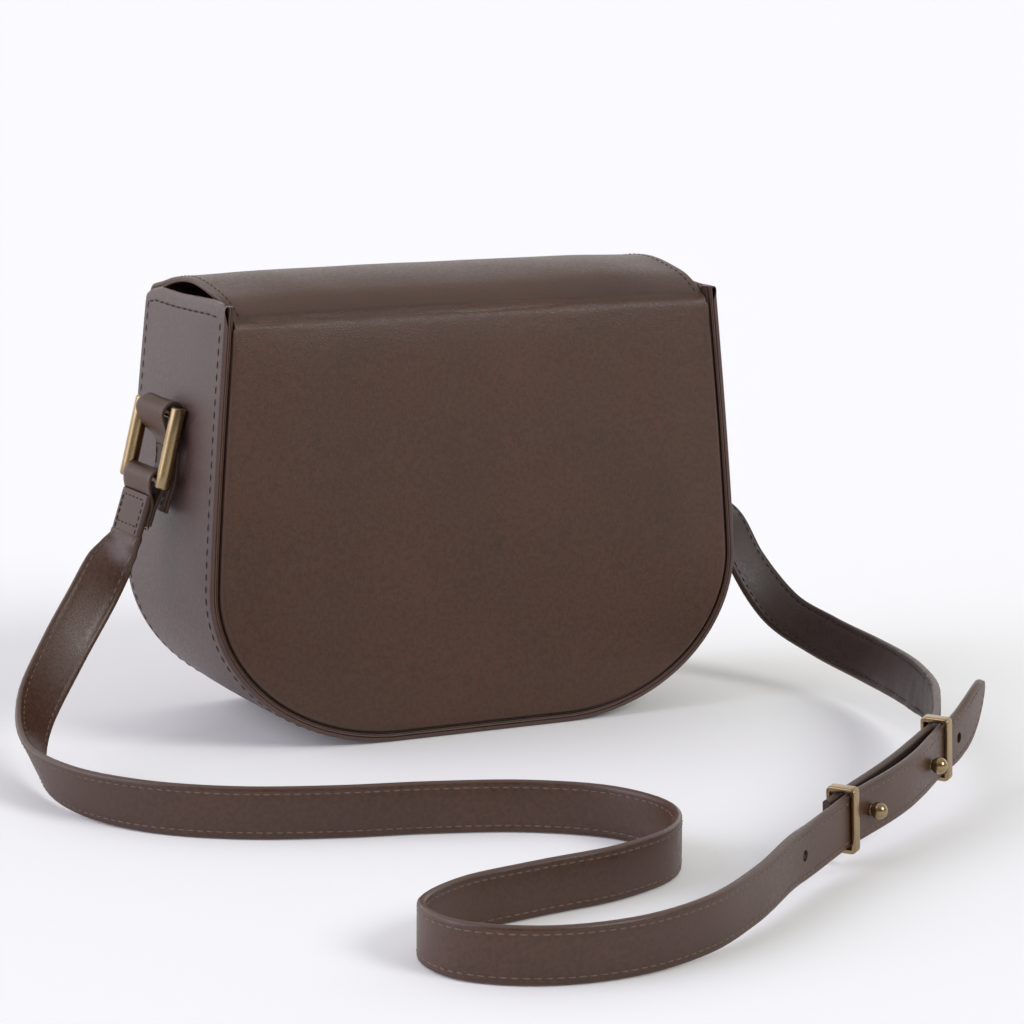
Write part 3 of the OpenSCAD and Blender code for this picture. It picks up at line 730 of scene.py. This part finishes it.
def flapWay():
    # the way's places and outward directions, and the length up to each
    places, steps = foldArc(backY, lean), flapShape["domeSteps"]
    y1, y2 = backY + foldR * math.sin(domeSlope), frontY - foldR * math.sin(domeSlope)
    rise = (y1 - y2) * math.tan(domeSlope) / 4
    for i in range(1, steps):
        y = y1 + (y2 - y1) * i / steps
        slope = -8 * rise * (y - (y1 + y2) / 2) / (y1 - y2) ** 2
        n = Vector((-slope, 1)).normalized()
        places.append((y, body["height"] + rise * (1 - ((2 * y - y1 - y2) / (y1 - y2)) ** 2), n.x, n.y))
    places += foldArc(frontY, math.pi / 2 + domeSlope)
    for z in [hingeZ - 3 * i for i in range(1, 46)]:
        places.append((-rimY(z) - dropOff, z, -math.cos(lean), math.sin(lean)))
    lengths = [0.0]
    for a, b in zip(places, places[1:]):
        lengths.append(lengths[-1] + math.hypot(b[0] - a[0], b[1] - a[1]))
    return places, lengths


wayPlaces, wayLengths = flapWay()
wayFold2 = wayLengths[flapShape["foldSteps"] + flapShape["domeSteps"]]  # where the fold at the front starts
wayDrop = wayLengths[2 * flapShape["foldSteps"] + flapShape["domeSteps"]]  # where the straight drop starts
wayRound = wayDrop + (hingeZ - flapShape["roundFrom"]) / math.cos(lean)  # where the lower corners start


def onWay(x, p, h):
    # a place on the back face, p below 0, or on the flap, h out from its outer face
    if p <= 0:
        z = hingeZ + p * math.cos(lean)
        return Vector((x, rimY(z) + body["proud"] + h * math.cos(lean), z + h * math.sin(lean)))
    # the flap's ends sink a little at the back and stand higher over the front fold
    end = smooth(flapShape["endFrom"], flapShape["endTo"], abs(x))
    h += end * (flapShape["endRise"] * hump(p, wayFold2 + 4, 10)
                - flapShape["endSink"] * hump(p, 0.34 * wayFold2, 0.2 * wayFold2))
    i = min(len(wayLengths) - 2, max(0, bisect.bisect_right(wayLengths, p) - 1))
    k = (p - wayLengths[i]) / (wayLengths[i + 1] - wayLengths[i])
    y, z, ny, nz = [between(u, v, k) for u, v in zip(wayPlaces[i], wayPlaces[i + 1])]
    return Vector((x, y + h * ny, z + h * nz))


# the leather's soft forms: a full face, a band tilted back towards the crease, the crease, pulls at its ends;
# and a painted shade over the crease
soft = {"swell": 1.4, "swellIn": 26, "tilt": 2.4, "tiltFade": 22, "tiltRound": 4, "tiltEnd": 20,
        "fold": 0.35, "foldWide": 3.4, "pull": 0.5, "sag": 1.0, "uneven": 0.35, "fine": 0.1, "ripple": 0.16,
        "lowest": -1.55, "paintedShade": 0.3, "paintedShadeOver": 3.5, "paintedShadeWide": 4.5}


def creaseAt(x):
    line = flapShape["creaseLine"]
    for (x1, p1), (x2, p2) in zip(line, line[1:]):
        if x <= x2:
            return between(p1, p2, smooth(x1, x2, x))
    return line[-1][1]


def backRelief(x, p, inset):
    # how far the leather stands off the plain face
    crease = creaseAt(x)
    past = p - crease
    near = math.exp((past - math.hypot(past, soft["tiltRound"])) / soft["tiltFade"])
    high = soft["swell"] * smooth(0, soft["swellIn"], inset) * (1 - near)
    high -= soft["tilt"] * near * smooth(soft["tiltEnd"], -2, past)
    high -= soft["fold"] * hump(past, 0, soft["foldWide"])
    high -= soft["sag"] * smooth(70, 107, abs(x)) * hump(p, 54, 34)
    pulled = noise.noise(Vector((x * 0.3, p * 0.1, 2))) * smooth(80, 103, abs(x))
    high += soft["pull"] * pulled * hump(p, crease - 4, 6)
    q = Vector((x, p, 0))
    high += soft["uneven"] * noise.noise(q * 0.018) + soft["fine"] * noise.noise(q * 0.07)
    if -20 < p < 22:
        high += soft["ripple"] * noise.noise(Vector((x * 0.12, p * 0.3, 7))) * hump(p, crease - 2, 8)
    return high if p > 1 else max(high, soft["lowest"])


# painted shade: a soft dark band in the leather's colour just over the crease
def creaseShade(x, p):
    return -soft["paintedShade"] * hump(p, creaseAt(x) + soft["paintedShadeOver"], soft["paintedShadeWide"])


def flapEdge(kind, at, inset):
    # the flap's own outline, from the hinge line to the middle of its lower edge
    flat = flapShape["flat"] / 2
    if kind == "side":
        z = hingeZ if at <= 0.5 else body["height"]
        if at > wayDrop:
            z = min(z, hingeZ - (at - wayDrop) * math.cos(lean))
        return sideX(z) - faceIn - inset, at
    rx = sideX(flapShape["roundFrom"]) - faceIn - flat
    rz = flapShape["roundFrom"] - flapShape["low"]
    if kind == "corner":
        n = Vector((math.cos(at) / rx, math.sin(at) / rz)).normalized()
        return flat + rx * math.cos(at) - inset * n.x, wayRound + rz * math.sin(at) - inset * n.y
    return at, wayRound + rz - inset


def flapStops(first=0.0):
    # stops round the flap: side, kind of edge, place on it, and the middle that the stop shrinks to
    stops, p, bend = [], 1.0, wayRound - 14
    while p < wayRound - 1:
        stops.append(("side", p, p if p < bend else bend + (p - bend) * 0.45))
        p += 0.5 if p < 14 else 1.0 if wayFold2 - 3 < p < wayDrop + 3 else 3.1
    last = stops[-1][2]
    rest = [("corner", math.pi / 2 * i / 34) for i in range(35)]
    rest += [("flat", 26 - 26 * i / 7) for i in range(1, 8)]
    for i, (kind, at) in enumerate(rest):
        stops.append((kind, at, last + 24 * ((i + 1) / len(rest)) ** 1.5))
    stops = [stop for stop in stops if stop[0] != "side" or stop[1] > first]
    return [(1, *stop) for stop in stops] + [(-1, *stop) for stop in reversed(stops[:-1])]


poleZ = 62  # the height of the point that the faces' rows shrink to
innerRun = 92  # how far it lies in from the edge, for the soft forms


def middleZ(s, top):
    return poleZ + (top - poleZ) * abs(s) ** 2.25


def panelPoint(s, profile, row, top, inner, inset=0.0):
    # a row of a panel's edge profile, or past it of the face: across, up, out, in from the edge
    last = len(profile) - 1
    d, h = profile[min(row, last)]
    x, z = outlineAt(s, d + inset, top)
    k = max(0, row - last) / inner
    return x * (1 - k), between(z, middleZ(s, top), k), h, d + innerRun * k


def leatherStop(stop, inset):
    if stop[0] == "back":
        x, z = outlineAt(stop[1], inset + faceIn, hingeZ)
        return x, (z - hingeZ) / math.cos(lean)
    x, p = flapEdge(stop[1], stop[2], inset)
    return x * stop[0], p


def leatherMiddle(stop):
    if stop[0] == "back":
        return 0.0, (middleZ(stop[1], hingeZ) - hingeZ) / math.cos(lean)
    return 0.0, stop[3]


def inward(stop, inset, k):
    # a share of the way from the edge, moved in by inset, to the stop's middle
    (x1, p1), (x2, p2) = leatherStop(stop, inset), leatherMiddle(stop)
    return between(x1, x2, k), between(p1, p2, k)


# edges from the inside out and on to the face: inset, out
turnedEdge = [(2.4, -4.0), (0.25, -4.0), (0.0, -3.3), (0.0, -2.4), (0.08, -1.5), (0.35, -0.8), (0.85, -0.3),
              (1.6, -0.05), (2.7, 0.05), (5, 0.1), (9, 0.1), (15, 0.1)]
cutEdge = [(2.4, -1.7), (0.5, -1.7), (0.14, -1.58), (0.0, -1.25), (0.0, -0.85), (0.0, -0.45), (0.14, -0.12),
           (0.5, 0.0), (1.3, 0.02), (4, 0.05), (9, 0.05), (15, 0.05)]


def makeBackAndFlap():
    # one leather: a closed ring of stops, taken through the rows of the edge and then in to the middle
    bm = bmesh.new()
    stops = [("back", s) for s in sideRun(1.2, 3.0, 20)] + flapStops()
    count, inner, deep = len(turnedEdge), 30, -body["leather"]

    def place(column, row):
        stop = stops[column % len(stops)]
        if row == 0:
            return (*onWay(*leatherMiddle(stop), deep), 0)
        near, cut = min(row, count) - 1, smooth(-9, -1, leatherStop(stop, 0)[1])
        d, h = [between(u, v, cut) for u, v in zip(turnedEdge[near], cutEdge[near])]
        if row <= count:
            x, p = leatherStop(stop, d)
            # edge wear, plus the painted shade over the crease
            wearAndShade = 0.7 * (1 - smooth(0.1, 1.4, d)) + (creaseShade(x, p) if d > 0.3 else 0)
            return (*onWay(x, p, h + backRelief(x, p, d) * (1 if h > deep + 0.01 else 0.3)), wearAndShade)
        k = (row - count) / inner
        x, p = inward(stop, d, k)
        # past the edge, only the painted shade over the crease
        return (*onWay(x, p, h + backRelief(x, p, d + innerRun * k)), creaseShade(x, p))

    bendSheet(bm, len(stops), count + inner, place)
    piece = finishPiece(bm, "backAndFlap", brownLeather, None, ("back_panel", "flap"), 70)
    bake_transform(piece)


makeBackAndFlap()
print("back and flap leather")


def toBack(x, z, h, side):
    # h out from the plane of the back rim, or of the front rim when side is -1
    return Vector((x, side * (rimY(z) + h * math.cos(lean)), z + h * math.sin(lean)))


def makeFrontPanel():
    bm = bmesh.new()
    run, top, inner = sideRun(1.5, 3.4, 12), body["frontTop"], 24

    def relief(x, z, d):
        snap = -0.5 * math.exp(-(((x / 16) ** 2 + ((z - 70) / 16) ** 2) ** 2))
        full = 1.1 * smooth(0, 28, d) * smooth(2, 30, top - z) + 0.3 * noise.noise(Vector((x, 40, z)) * 0.02)
        return full * (1 + 2 * snap) + snap

    def place(column, row):
        x, z, h, d = panelPoint(run[column], turnedEdge, row, top, inner, faceIn)
        down = top - z
        if h > -1:
            h -= 1.2 * (1 - smooth(0, 2.4, down))
        raised = relief(x, z, d) if h > -1.3 else 0
        return (*toBack(x, z, h + raised + body["proud"], -1), 1 - smooth(0.2, 2.4, min(d, down)))

    bendSheet(bm, len(run) - 1, len(turnedEdge) + inner - 1, place)
    rim = [e for e in bm.edges if e.is_boundary and min(v.co.z for v in e.verts) > top - 9]
    made = bmesh.ops.extrude_edge_only(bm, edges=rim)["geom"]
    verts = [g for g in made if isinstance(g, bmesh.types.BMVert)]
    bmesh.ops.translate(bm, verts=verts, vec=(0, body["leather"], -0.3))
    finishPiece(bm, "frontFace", brownLeather, "bag", ("front_panel",), 70)


crownLine = ((-1, -1.9), (-0.9, 0), (-0.72, 1.9), (-0.16, 1.9), (0.3, 2.7), (0.65, 3.2), (0.84, 2.8),
             (1, 1.9))


def crownAt(share, x):
    # how far the gusset's top edge stands over its plain height, from the front rim to the back rim
    less = 1 if x > 0 else 1 - smooth(-0.2, 0.9, share)
    for (a, low), (b, high) in zip(crownLine, crownLine[1:]):
        if share <= b:
            return (low + (high - low) * (share - a) / (b - a)) * less
    return crownLine[-1][1] * less


# the panels' turned edges, round the band: inset, out, wear (below 0 it is painted shade, in the dip between
# the two layers and down into the groove)
rimSection = [(1.74, -5.6, 0), (1.74, -0.5, 0), (1.82, -0.2, 0), (2.05, -0.02, 0.1), (2.35, 0.06, 0.8),
              (2.62, -0.02, 0.1), (2.76, -0.24, -0.8), (2.9, -0.02, 0.1), (3.1, 0.02, 0.6), (3.26, -0.16, 0),
              (3.34, -0.5, -0.3), (3.38, -1.3, -0.7), (4.3, -1.5, -0.5), (4.3, -5.6, 0)]


def makeRim(name, side, node):
    # two layers side by side, standing beside the groove
    bm = bmesh.new()
    run, top = sideRun(1.5, 3.0, 8), body["height"]

    def place(column, row):
        d, h, wearAndShade = rimSection[column % len(rimSection)]
        x, z = outlineAt(run[row], d, top)
        down = top - z
        if h > -1:
            worn = 0.12 * noise.noise(Vector((x, side * 50, z)) * 0.09)
            h += worn - (0.25 * (1 - down / 1.6) if down < 1.6 else 0)
        q = toBack(x, z, h, side)
        q.z += crownAt(side, x) * smooth(13, 0, down)
        return (*q, wearAndShade)

    bendSheet(bm, len(rimSection), len(run) - 1, place)
    closeEnds(bm)
    finishPiece(bm, name, brownLeather, "bag", (node,), 60)


gusset = {"bulge": 0.9, "turned": 3.6, "cut": 1.7, "skip": 3}
# the hem folded over at the gusset's top, up the inside and out: share of its thickness, more, height
hemFold = [(1, 0, -14.0), (1, 0.1, -11.9), (1, 0.1, -6), (1, 0.1, -2.2), (0.93, 0, -0.9), (0.72, 0, -0.2),
           (0.5, 0, 0.0), (0.28, 0, -0.15), (0.1, 0, -0.7), (0, 0, -1.8)]


def gussetPlace(s, share, inset, top):
    # share runs from -1 at the front rim to 1 at the back rim; inset is measured in from the outside
    x, z = outlineAt(s, inset, top)
    y = share * rimY(z)
    full = (1 - share * share) * gusset["bulge"] * (1 if z > 4 else 0.3)
    uneven = full + 0.3 * (1 - share ** 4) * noise.noise(Vector((x, y, z)) * 0.03)
    x2, z2 = outlineAt(s, inset - uneven, top)
    return Vector((x2, y, max(z2, 0.02 + inset)))


def makeGusset():
    bm = bmesh.new()
    run, top, skip, hem = sideRun(2.0, 3.2, 14), body["height"], gusset["skip"], len(hemFold)
    rows = 2 * hem + len(run) - 2 * skip
    edges = [(-1, 1.68), (-1, 1.4), (-1, 0.5), (-0.998, 0.2), (-0.994, 0.05)]
    wide = [(w, 0.0) for w in (-0.985, -0.97, -0.95, -0.92, -0.885, -0.86, -0.82)]
    across = edges + wide + [(i / 10, 0.0) for i in range(-7, 8)]
    across += [(-w, d) for w, d in reversed(edges + wide)]

    def place(column, row):
        share, d = across[column]
        wearAndShade = 0.45 if abs(share) > 0.992 else 0.0
        if hem <= row < rows - hem:
            return (*gussetPlace(run[row - hem + skip], share, d, top), wearAndShade)
        left = row < hem
        part, more, dz = hemFold[row if left else rows - 1 - row]
        dd = (gusset["turned"] if abs(share) < 0.86 else gusset["cut"]) * part + more
        y = share * rimY(min(top, outlineAt(-1, dd, top)[1] + dz))
        full = (1 - share * share) * gusset["bulge"] * (1 - dd / 4) * smooth(0, -30, dz)
        x, z = outlineAt(-1, dd - full, top)
        x = (x + dz * abs(sideSlope(top))) * (1 if left else -1)
        lift = crownAt(share, -1 if left else 1) * smooth(-13, 0, dz)
        return (x, y, z + dz + lift, max(wearAndShade, 0.5 * smooth(-2.5, -0.4, dz)))

    bendSheet(bm, len(across) - 1, rows - 1, place)
    finishPiece(bm, "gussetLeather", gussetLeather, "bag", ("gusset",), 60)


def makeFlapLining():
    bm = bmesh.new()
    stops, thick, inner = flapStops(), flapShape["thick"], 12
    profile = [(2.4, -1.72), (0.7, -1.72), (0.42, -1.82), (0.3, -2.1), (0.28, -2.6), (0.4, -3.05),
               (0.75, -thick), (1.6, -thick - 0.04), (4, -thick - 0.06), (9, -thick), (15, -thick)]
    count = len(profile)

    def place(column, row):
        d, h = profile[min(row, count - 1)]
        k = max(0, row - count + 1) / inner
        x, p = inward(stops[column], d, k)
        d += innerRun * k
        relief = backRelief(x, p, d) * (1 if h > -2 else smooth(20, 8, p) * 0.6)
        uneven = 0.12 * noise.noise(Vector((x, p, 3)) * 0.03)
        return (*onWay(x, p, h + min(0.0, relief) - uneven), 1 - smooth(0.3, 1.4, d))

    bendSheet(bm, len(stops) - 1, count + inner - 1, place)
    piece = finishPiece(bm, "flapLiningLeather", brownLeather, None, ("flap_lining",), 70)
    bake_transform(piece)


flapBoard = {"inset": 8, "deep": 2.15, "thick": 0.7, "rows": 14}


def makeFlapBoard():
    bm = bmesh.new()
    stops = flapStops(14)

    def place(column, row):
        x, p = inward(stops[column], flapBoard["inset"], row / flapBoard["rows"])
        return (*onWay(x, p, -flapBoard["deep"]), 0)

    bendSheet(bm, len(stops) - 1, flapBoard["rows"], place)
    thicken(bm, flapBoard["thick"])
    finishPiece(bm, "flapBoardSheet", fibreBoard, "flap", ("flap_board",), 50)


sideSeams = {side: {"in": 4.2 / 46, "pitch": 5.0, "stitch": 3.1, "thread": 0.8, "rise": rise}
             for side, rise in ((-1, 0.06), (1, 0.16))}
hemSeam = {"down": 5.0, "reach": 0.9, "pitch": 6.4, "stitch": 4.3, "thread": 0.8, "rise": 0.28}


def sewBody():
    bm = bmesh.new()
    top = body["height"]
    for side, seam in sideSeams.items():
        share = side * (1 - seam["in"])
        line = [gussetPlace(-1 + 2 * i / 260, share, -0.02, top) for i in range(261)]
        line = [q for q in line if q.z < top - 3]
        outs = []
        for q, r in zip(line, line[1:] + [line[-1]]):
            t = (r - q) if (r - q).length > 1e-6 else (q - line[-2])
            outs.append(Vector((0, 1, 0)).cross(t).normalized())
        stitchRow(bm, line, outs, seam)
    for left in (-1, 1):
        line = []
        for i in range(41):
            share = -hemSeam["reach"] + 2 * hemSeam["reach"] * i / 40
            z = top - hemSeam["down"] + crownAt(share, left) * 0.75
            q = gussetPlace(left * 0.98, share, -0.05, top)
            line.append(Vector((left * (sideX(z) + abs(q.x) - sideX(q.z)), share * rimY(z), z)))
        stitchRow(bm, line, [Vector((left, 0, 0.1))] * len(line), hemSeam)
    finishStitches(bm, "bodyStitches", darkThread, "bag")


flapSeam = {"inset": 3.2, "from": 7, "pitch": 4.2, "stitch": 3.0, "thread": 0.62, "rise": 0.22}


def sewFlap():
    bm = bmesh.new()
    line, outs = [], []
    for stop in flapStops(flapSeam["from"]):
        x, p = leatherStop(stop, flapSeam["inset"])
        line.append(onWay(x, p, 0.02 + backRelief(x, p, flapSeam["inset"])))
        outs.append((onWay(x, p, 1) - onWay(x, p, 0)).normalized())
    stitchRow(bm, line, outs, flapSeam)
    finishStitches(bm, "flapStitches", darkThread, "flap")


ring = {"out": 7.2, "z": 135.7, "high": 27, "apart": 13.5, "rod": 4, "bar": 6.5, "yaw": 11, "roll": 4,
        "stand": 7.4}
tab = {"width": 20.2, "thick": 1.6, "loop": 4.25, "lift": 3.2, "round": 0.45}
tabSeam = {"in": 2.4, "low": 97, "pitch": 3.6, "stitch": 2.5, "thread": 0.6, "rise": 0.25}
tabCross = {"at": (120.5, 98.5), "reach": 6, "pitch": 3.2, "stitch": 2.3, "thread": 0.6, "rise": 0.25}
strapEnd = {"lean": 4.4, "thick": 1.5, "roll": 3.9, "drop": 0.8, "top": -7.6, "foot": -24.55, "out": 1.4,
            "round": 0.5}
endSeam = {"apart": 7.6, "pitch": 2.9, "stitch": 2.1, "thread": 0.6, "rise": 0.25}
rodTurn = (Matrix.Rotation(math.radians(ring["yaw"]), 3, "Z")
           @ Matrix.Rotation(math.radians(-ring["roll"]), 3, "X"))
ringLean = math.radians(ring["stand"]) + math.atan(-sideSlope(ring["z"]))
ringTurn = rodTurn @ Matrix.Rotation(-ringLean, 3, "Y")
endTurn = ringTurn @ Matrix.Rotation(-math.radians(strapEnd["lean"]), 3, "Y")
ringMiddle = Vector((sideX(ring["z"]) + ring["out"], 0, ring["z"]))
endMiddle = ringMiddle + ringTurn @ Vector((0, 0, -ring["high"]))


def tabWay():
    # the tab's centre line from its tail up to the rod, over it and down again: out from the gusset, down
    r, roll = tab["loop"], math.radians(ring["roll"])
    way = [(0.85, 41), (0.85, 36), (0.85, 30), (0.85, 24), (0.85, 18), (0.9, 14), (1.4, 9.2), (2.5, 4.6)]
    for a in range(15, 217, 14):
        way.append((ring["out"] - r * math.cos(math.radians(a)), -r * math.sin(math.radians(a))))
    way += [(9.3, 5.4), (6.8, 9.0), (4.3, 12.2), (2.9, 15.2), (2.5, 18.6), (2.48, 24), (2.48, 30), (2.48, 36),
            (2.6, 40.2)]
    rows = []
    for d, down in way:
        z = ring["z"] - down * math.cos(roll)
        lift = tab["lift"] * smooth(25, 43, down) ** 1.2
        place = (sideX(z) + d + lift + 0.5 * smooth(6, 14, down), -down * math.sin(roll), z)
        side = (rodTurn @ Vector((0, 1, 0))).lerp(Vector((0, 0.9976, -0.0698)), smooth(2, 15, down))
        rows.append([*place, *side])
    fine = smoothLine(rows, 3)
    return pathFrames([Vector(v[:3]) for v in fine], [Vector(v[3:]) for v in fine])


def makeTab(side, hand):
    frames = tabWay()
    bm = bmesh.new()
    section = rounded(tab["width"], tab["thick"] - 0.06, tab["round"], 0.04)
    sweepBand(bm, frames, lambda row: section)
    mirrorTo(bm, side)
    finishPiece(bm, "tab" + hand.capitalize(), brownLeather, "bag", ("tab_" + hand,), 60)
    bm = bmesh.new()
    out = Vector((1, 0, 0.1))
    outer = [f for f in frames if f[0].x > sideX(f[0].z) + 2 and f[0].z < 121]
    for edge in (-1, 1):
        across = edge * (tab["width"] / 2 - tabSeam["in"])
        line = [p + u * across + Vector((0.82, 0, 0)) for p, t, u, w in outer if p.z > tabSeam["low"]]
        stitchRow(bm, line, [out] * len(line), tabSeam)
    for z in tabCross["at"]:
        p, t, u, w = min(outer, key=lambda f: abs(f[0].z - z))
        line = [p + u * (tabCross["reach"] * i / 4) + Vector((0.85, 0, 0)) for i in range(-4, 5)]
        stitchRow(bm, line, [out] * len(line), tabCross)
    mirrorTo(bm, side)
    finishStitches(bm, "tabStitches" + hand.capitalize(), darkThread, "bag")


def onEnd(x, y, z):
    return endMiddle + endTurn @ Vector((x, y, z))


def makeStrapEnd(side, hand):
    r, drop = strapEnd["roll"], strapEnd["drop"]
    # the loop round the lower rod, from its inner tail over the rod to the outer side: out, up
    way = [(-2.0, -19.5), (-2.1, -18), (-2.2, -15), (-2.2, -12), (-2.6, -8.4), (-3.5, -4.4)]
    way += [(-r * math.cos(math.radians(a)), r * math.sin(math.radians(a)) - drop) for a in range(0, 190, 15)]
    way += [(3.0, -4.4), (1.4, -7.2), (-0.2, -9.6), (-0.8, -12.5), (-0.8, -16), (-0.8, -20)]
    places = [endMiddle + endTurn @ v for v in smoothLine([[x, 0, z] for x, z in way], 3)]
    bm = bmesh.new()
    loop = rounded(strap["width"], strapEnd["thick"], strapEnd["round"], 0.04)
    sweepBand(bm, pathFrames(places, [endTurn @ Vector((0, 1, 0))] * len(places)), lambda row: loop)
    # the strap's own layer, sewn on outside it
    places = [onEnd(strapEnd["out"], 0, between(strapEnd["top"], strapEnd["foot"], k))
              for k in (0, 0.02, 0.3, 0.6, 0.85, 1)]
    layer = strapSection(strap["width"])
    start = [(x * 0.985, y * 0.9, e) for x, y, e in layer]
    sweepBand(bm, pathFrames(places, [endTurn @ Vector((0, -1, 0))] * len(places)),
              lambda row: layer if row else start)
    mirrorTo(bm, side)
    finishPiece(bm, "strapEnd" + hand.capitalize(), strapLeather, "ring_" + hand, ("strap_end_" + hand,),
                60)
    bm = bmesh.new()
    for face, foot in ((1, -24), (-1, -21.2)):
        out, x = endTurn @ Vector((face, 0, 0)), face * 2.95
        lines = [[onEnd(x, y, z) for z in (-10.2, -12, -15, -18, foot)]
                 for y in (-endSeam["apart"], endSeam["apart"])]
        lines += [[onEnd(x, y, z) for y in (-7.4, -4, 0, 4, 7.4)] for z in (-9.9, -21.2)]
        for line in lines:
            stitchRow(bm, line, [out] * len(line), endSeam)
    mirrorTo(bm, side)
    finishStitches(bm, "strapEndStitches" + hand.capitalize(), darkThread, "ring_" + hand)


def makeRing(side, hand):
    bm = bmesh.new()
    bar, rod, apart = ring["bar"] / 2, ring["rod"] / 2, ring["apart"]
    low, high, end, neck = -ring["high"] - bar, bar, apart - bar * 0.6, apart - bar - 0.25
    chamfer = ((bar, 0), (1.0, 0), (0.5, 0.12), (0.14, 0.45), (0, 1.0))
    profile = [(bar - d, low + z) for d, z in chamfer] + [(bar, z) for z in (low + 6, low + 14, low + 22)]
    profile += [(bar - d, high - z) for d, z in reversed(chamfer)]
    for y in (-apart, apart):
        turnProfile(bm, profile, ringMiddle + ringTurn @ Vector((0, y, 0)), ringTurn, 32)
    profile = [(0, -end), (rod + 0.5, -end), (rod + 0.45, -neck), (rod, 0.45 - neck), (rod, 0),
               (rod, neck - 0.45), (rod + 0.45, neck), (rod + 0.5, end), (0, end)]
    along = ringTurn @ Matrix.Rotation(math.pi / 2, 3, "X")
    for z in (0, -ring["high"]):
        turnProfile(bm, profile, ringMiddle + ringTurn @ Vector((0, 0, z)), along, 28)
    mirrorTo(bm, side)
    node = "ring_" + hand
    finishPiece(bm, "ringBrass" + hand.capitalize(), agedBrass, node, (node,), 50)


clothEdge = [(1.8, -5.05), (1.8, -5.9), (2.4, -6.05), (4, -6.05), (9, -6.05)]
gussetCloth = {"inset": 3.62, "short": 6, "across": 16, "thick": 0.9}
pocket = {"wide": 150, "high": 95, "z": 50, "hem": 9, "slack": 1.6, "deep": 6.15, "hemThick": 0.35,
          "thick": 0.7}


def makeLining(name, side, top, node):
    bm = bmesh.new()
    run, inner = sideRun(2.0, 5.0, 8), 14

    def place(column, row):
        x, z, h, d = panelPoint(run[column], clothEdge, row, top, inner)
        uneven = 0.25 * noise.noise(Vector((x, z, side * 9)) * 0.03) * smooth(2, 12, min(d, 10))
        roll = 0.9 * (1 - smooth(0, 1.2, top - z)) if h < -5.5 else 0
        return (*toBack(x, z, h + uneven + roll, side), 0)

    bendSheet(bm, len(run) - 1, len(clothEdge) + inner - 1, place)
    finishPiece(bm, name, tanLining, "bag", (node,), 70)


def makeGussetLining():
    bm = bmesh.new()
    run, top = sideRun(2.5, 5.0, 8), body["height"] - body["hem"]

    def place(column, row):
        share, inset = -1 + 2 * column / gussetCloth["across"], gussetCloth["inset"]
        x, z = outlineAt(run[row], inset, top)
        q = Vector((x, share * (rimY(z) - gussetCloth["short"]), z))
        x, z = outlineAt(run[row], inset + 0.25 * noise.noise(q * 0.03) * (1 - share ** 4), top)
        return (x, share * (rimY(z) - gussetCloth["short"]), z, 0)

    bendSheet(bm, gussetCloth["across"], len(run) - 1, place)
    thicken(bm, gussetCloth["thick"])
    finishPiece(bm, "gussetLiningCloth", tanLining, "bag", ("gusset_lining",), 70)


def makePocket():
    bm = bmesh.new()

    def place(column, row):
        u, v = column / 40 * 2 - 1, row / 26
        x, z = u * pocket["wide"] / 2, pocket["z"] + v * pocket["high"]
        full = (1 - u ** 4) * v ** 1.5 * pocket["slack"]
        full += 0.2 * noise.noise(Vector((x, z, 5)) * 0.04) * (1 - u ** 8) * v
        hem = pocket["hemThick"] if v > 1 - pocket["hem"] / pocket["high"] else 0
        return (*toBack(x, z, -pocket["deep"] - full - hem, 1), 0)

    bendSheet(bm, 40, 26, place)
    thicken(bm, pocket["thick"])
    cloth = finishPiece(bm, "slipPocketCloth", tanLining, "bag", ("slip_pocket",), 70)


makeFrontPanel()
makeRim("backRim", 1, "back_panel")
makeRim("frontRim", -1, "front_panel")
makeGusset()
makeFlapLining()
makeFlapBoard()
makeLining("backLiningCloth", 1, 172, "back_lining")
makeLining("frontLiningCloth", -1, body["frontTop"], "front_lining")
makeGussetLining()
makePocket()
sewBody()
sewFlap()
for side, hand in ((-1, "left"), (1, "right")):
    makeTab(side, hand)
    makeStrapEnd(side, hand)
    makeRing(side, hand)
print("body, linings, tabs and rings")

finishes = {"leather": brownLeather, "strap_leather": strapLeather, "lining": tanLining, "board": fibreBoard,
            "brass": agedBrass, "steel": plainSteel, "magnet": plainSteel}
slots = {part["node"]: part["material_slot"] for part in frame["record"]["subparts"]}
for name, obj in frame["nodes"].items():
    obj.data.materials.clear()
    obj.data.materials.append(finishes[slots[name]])
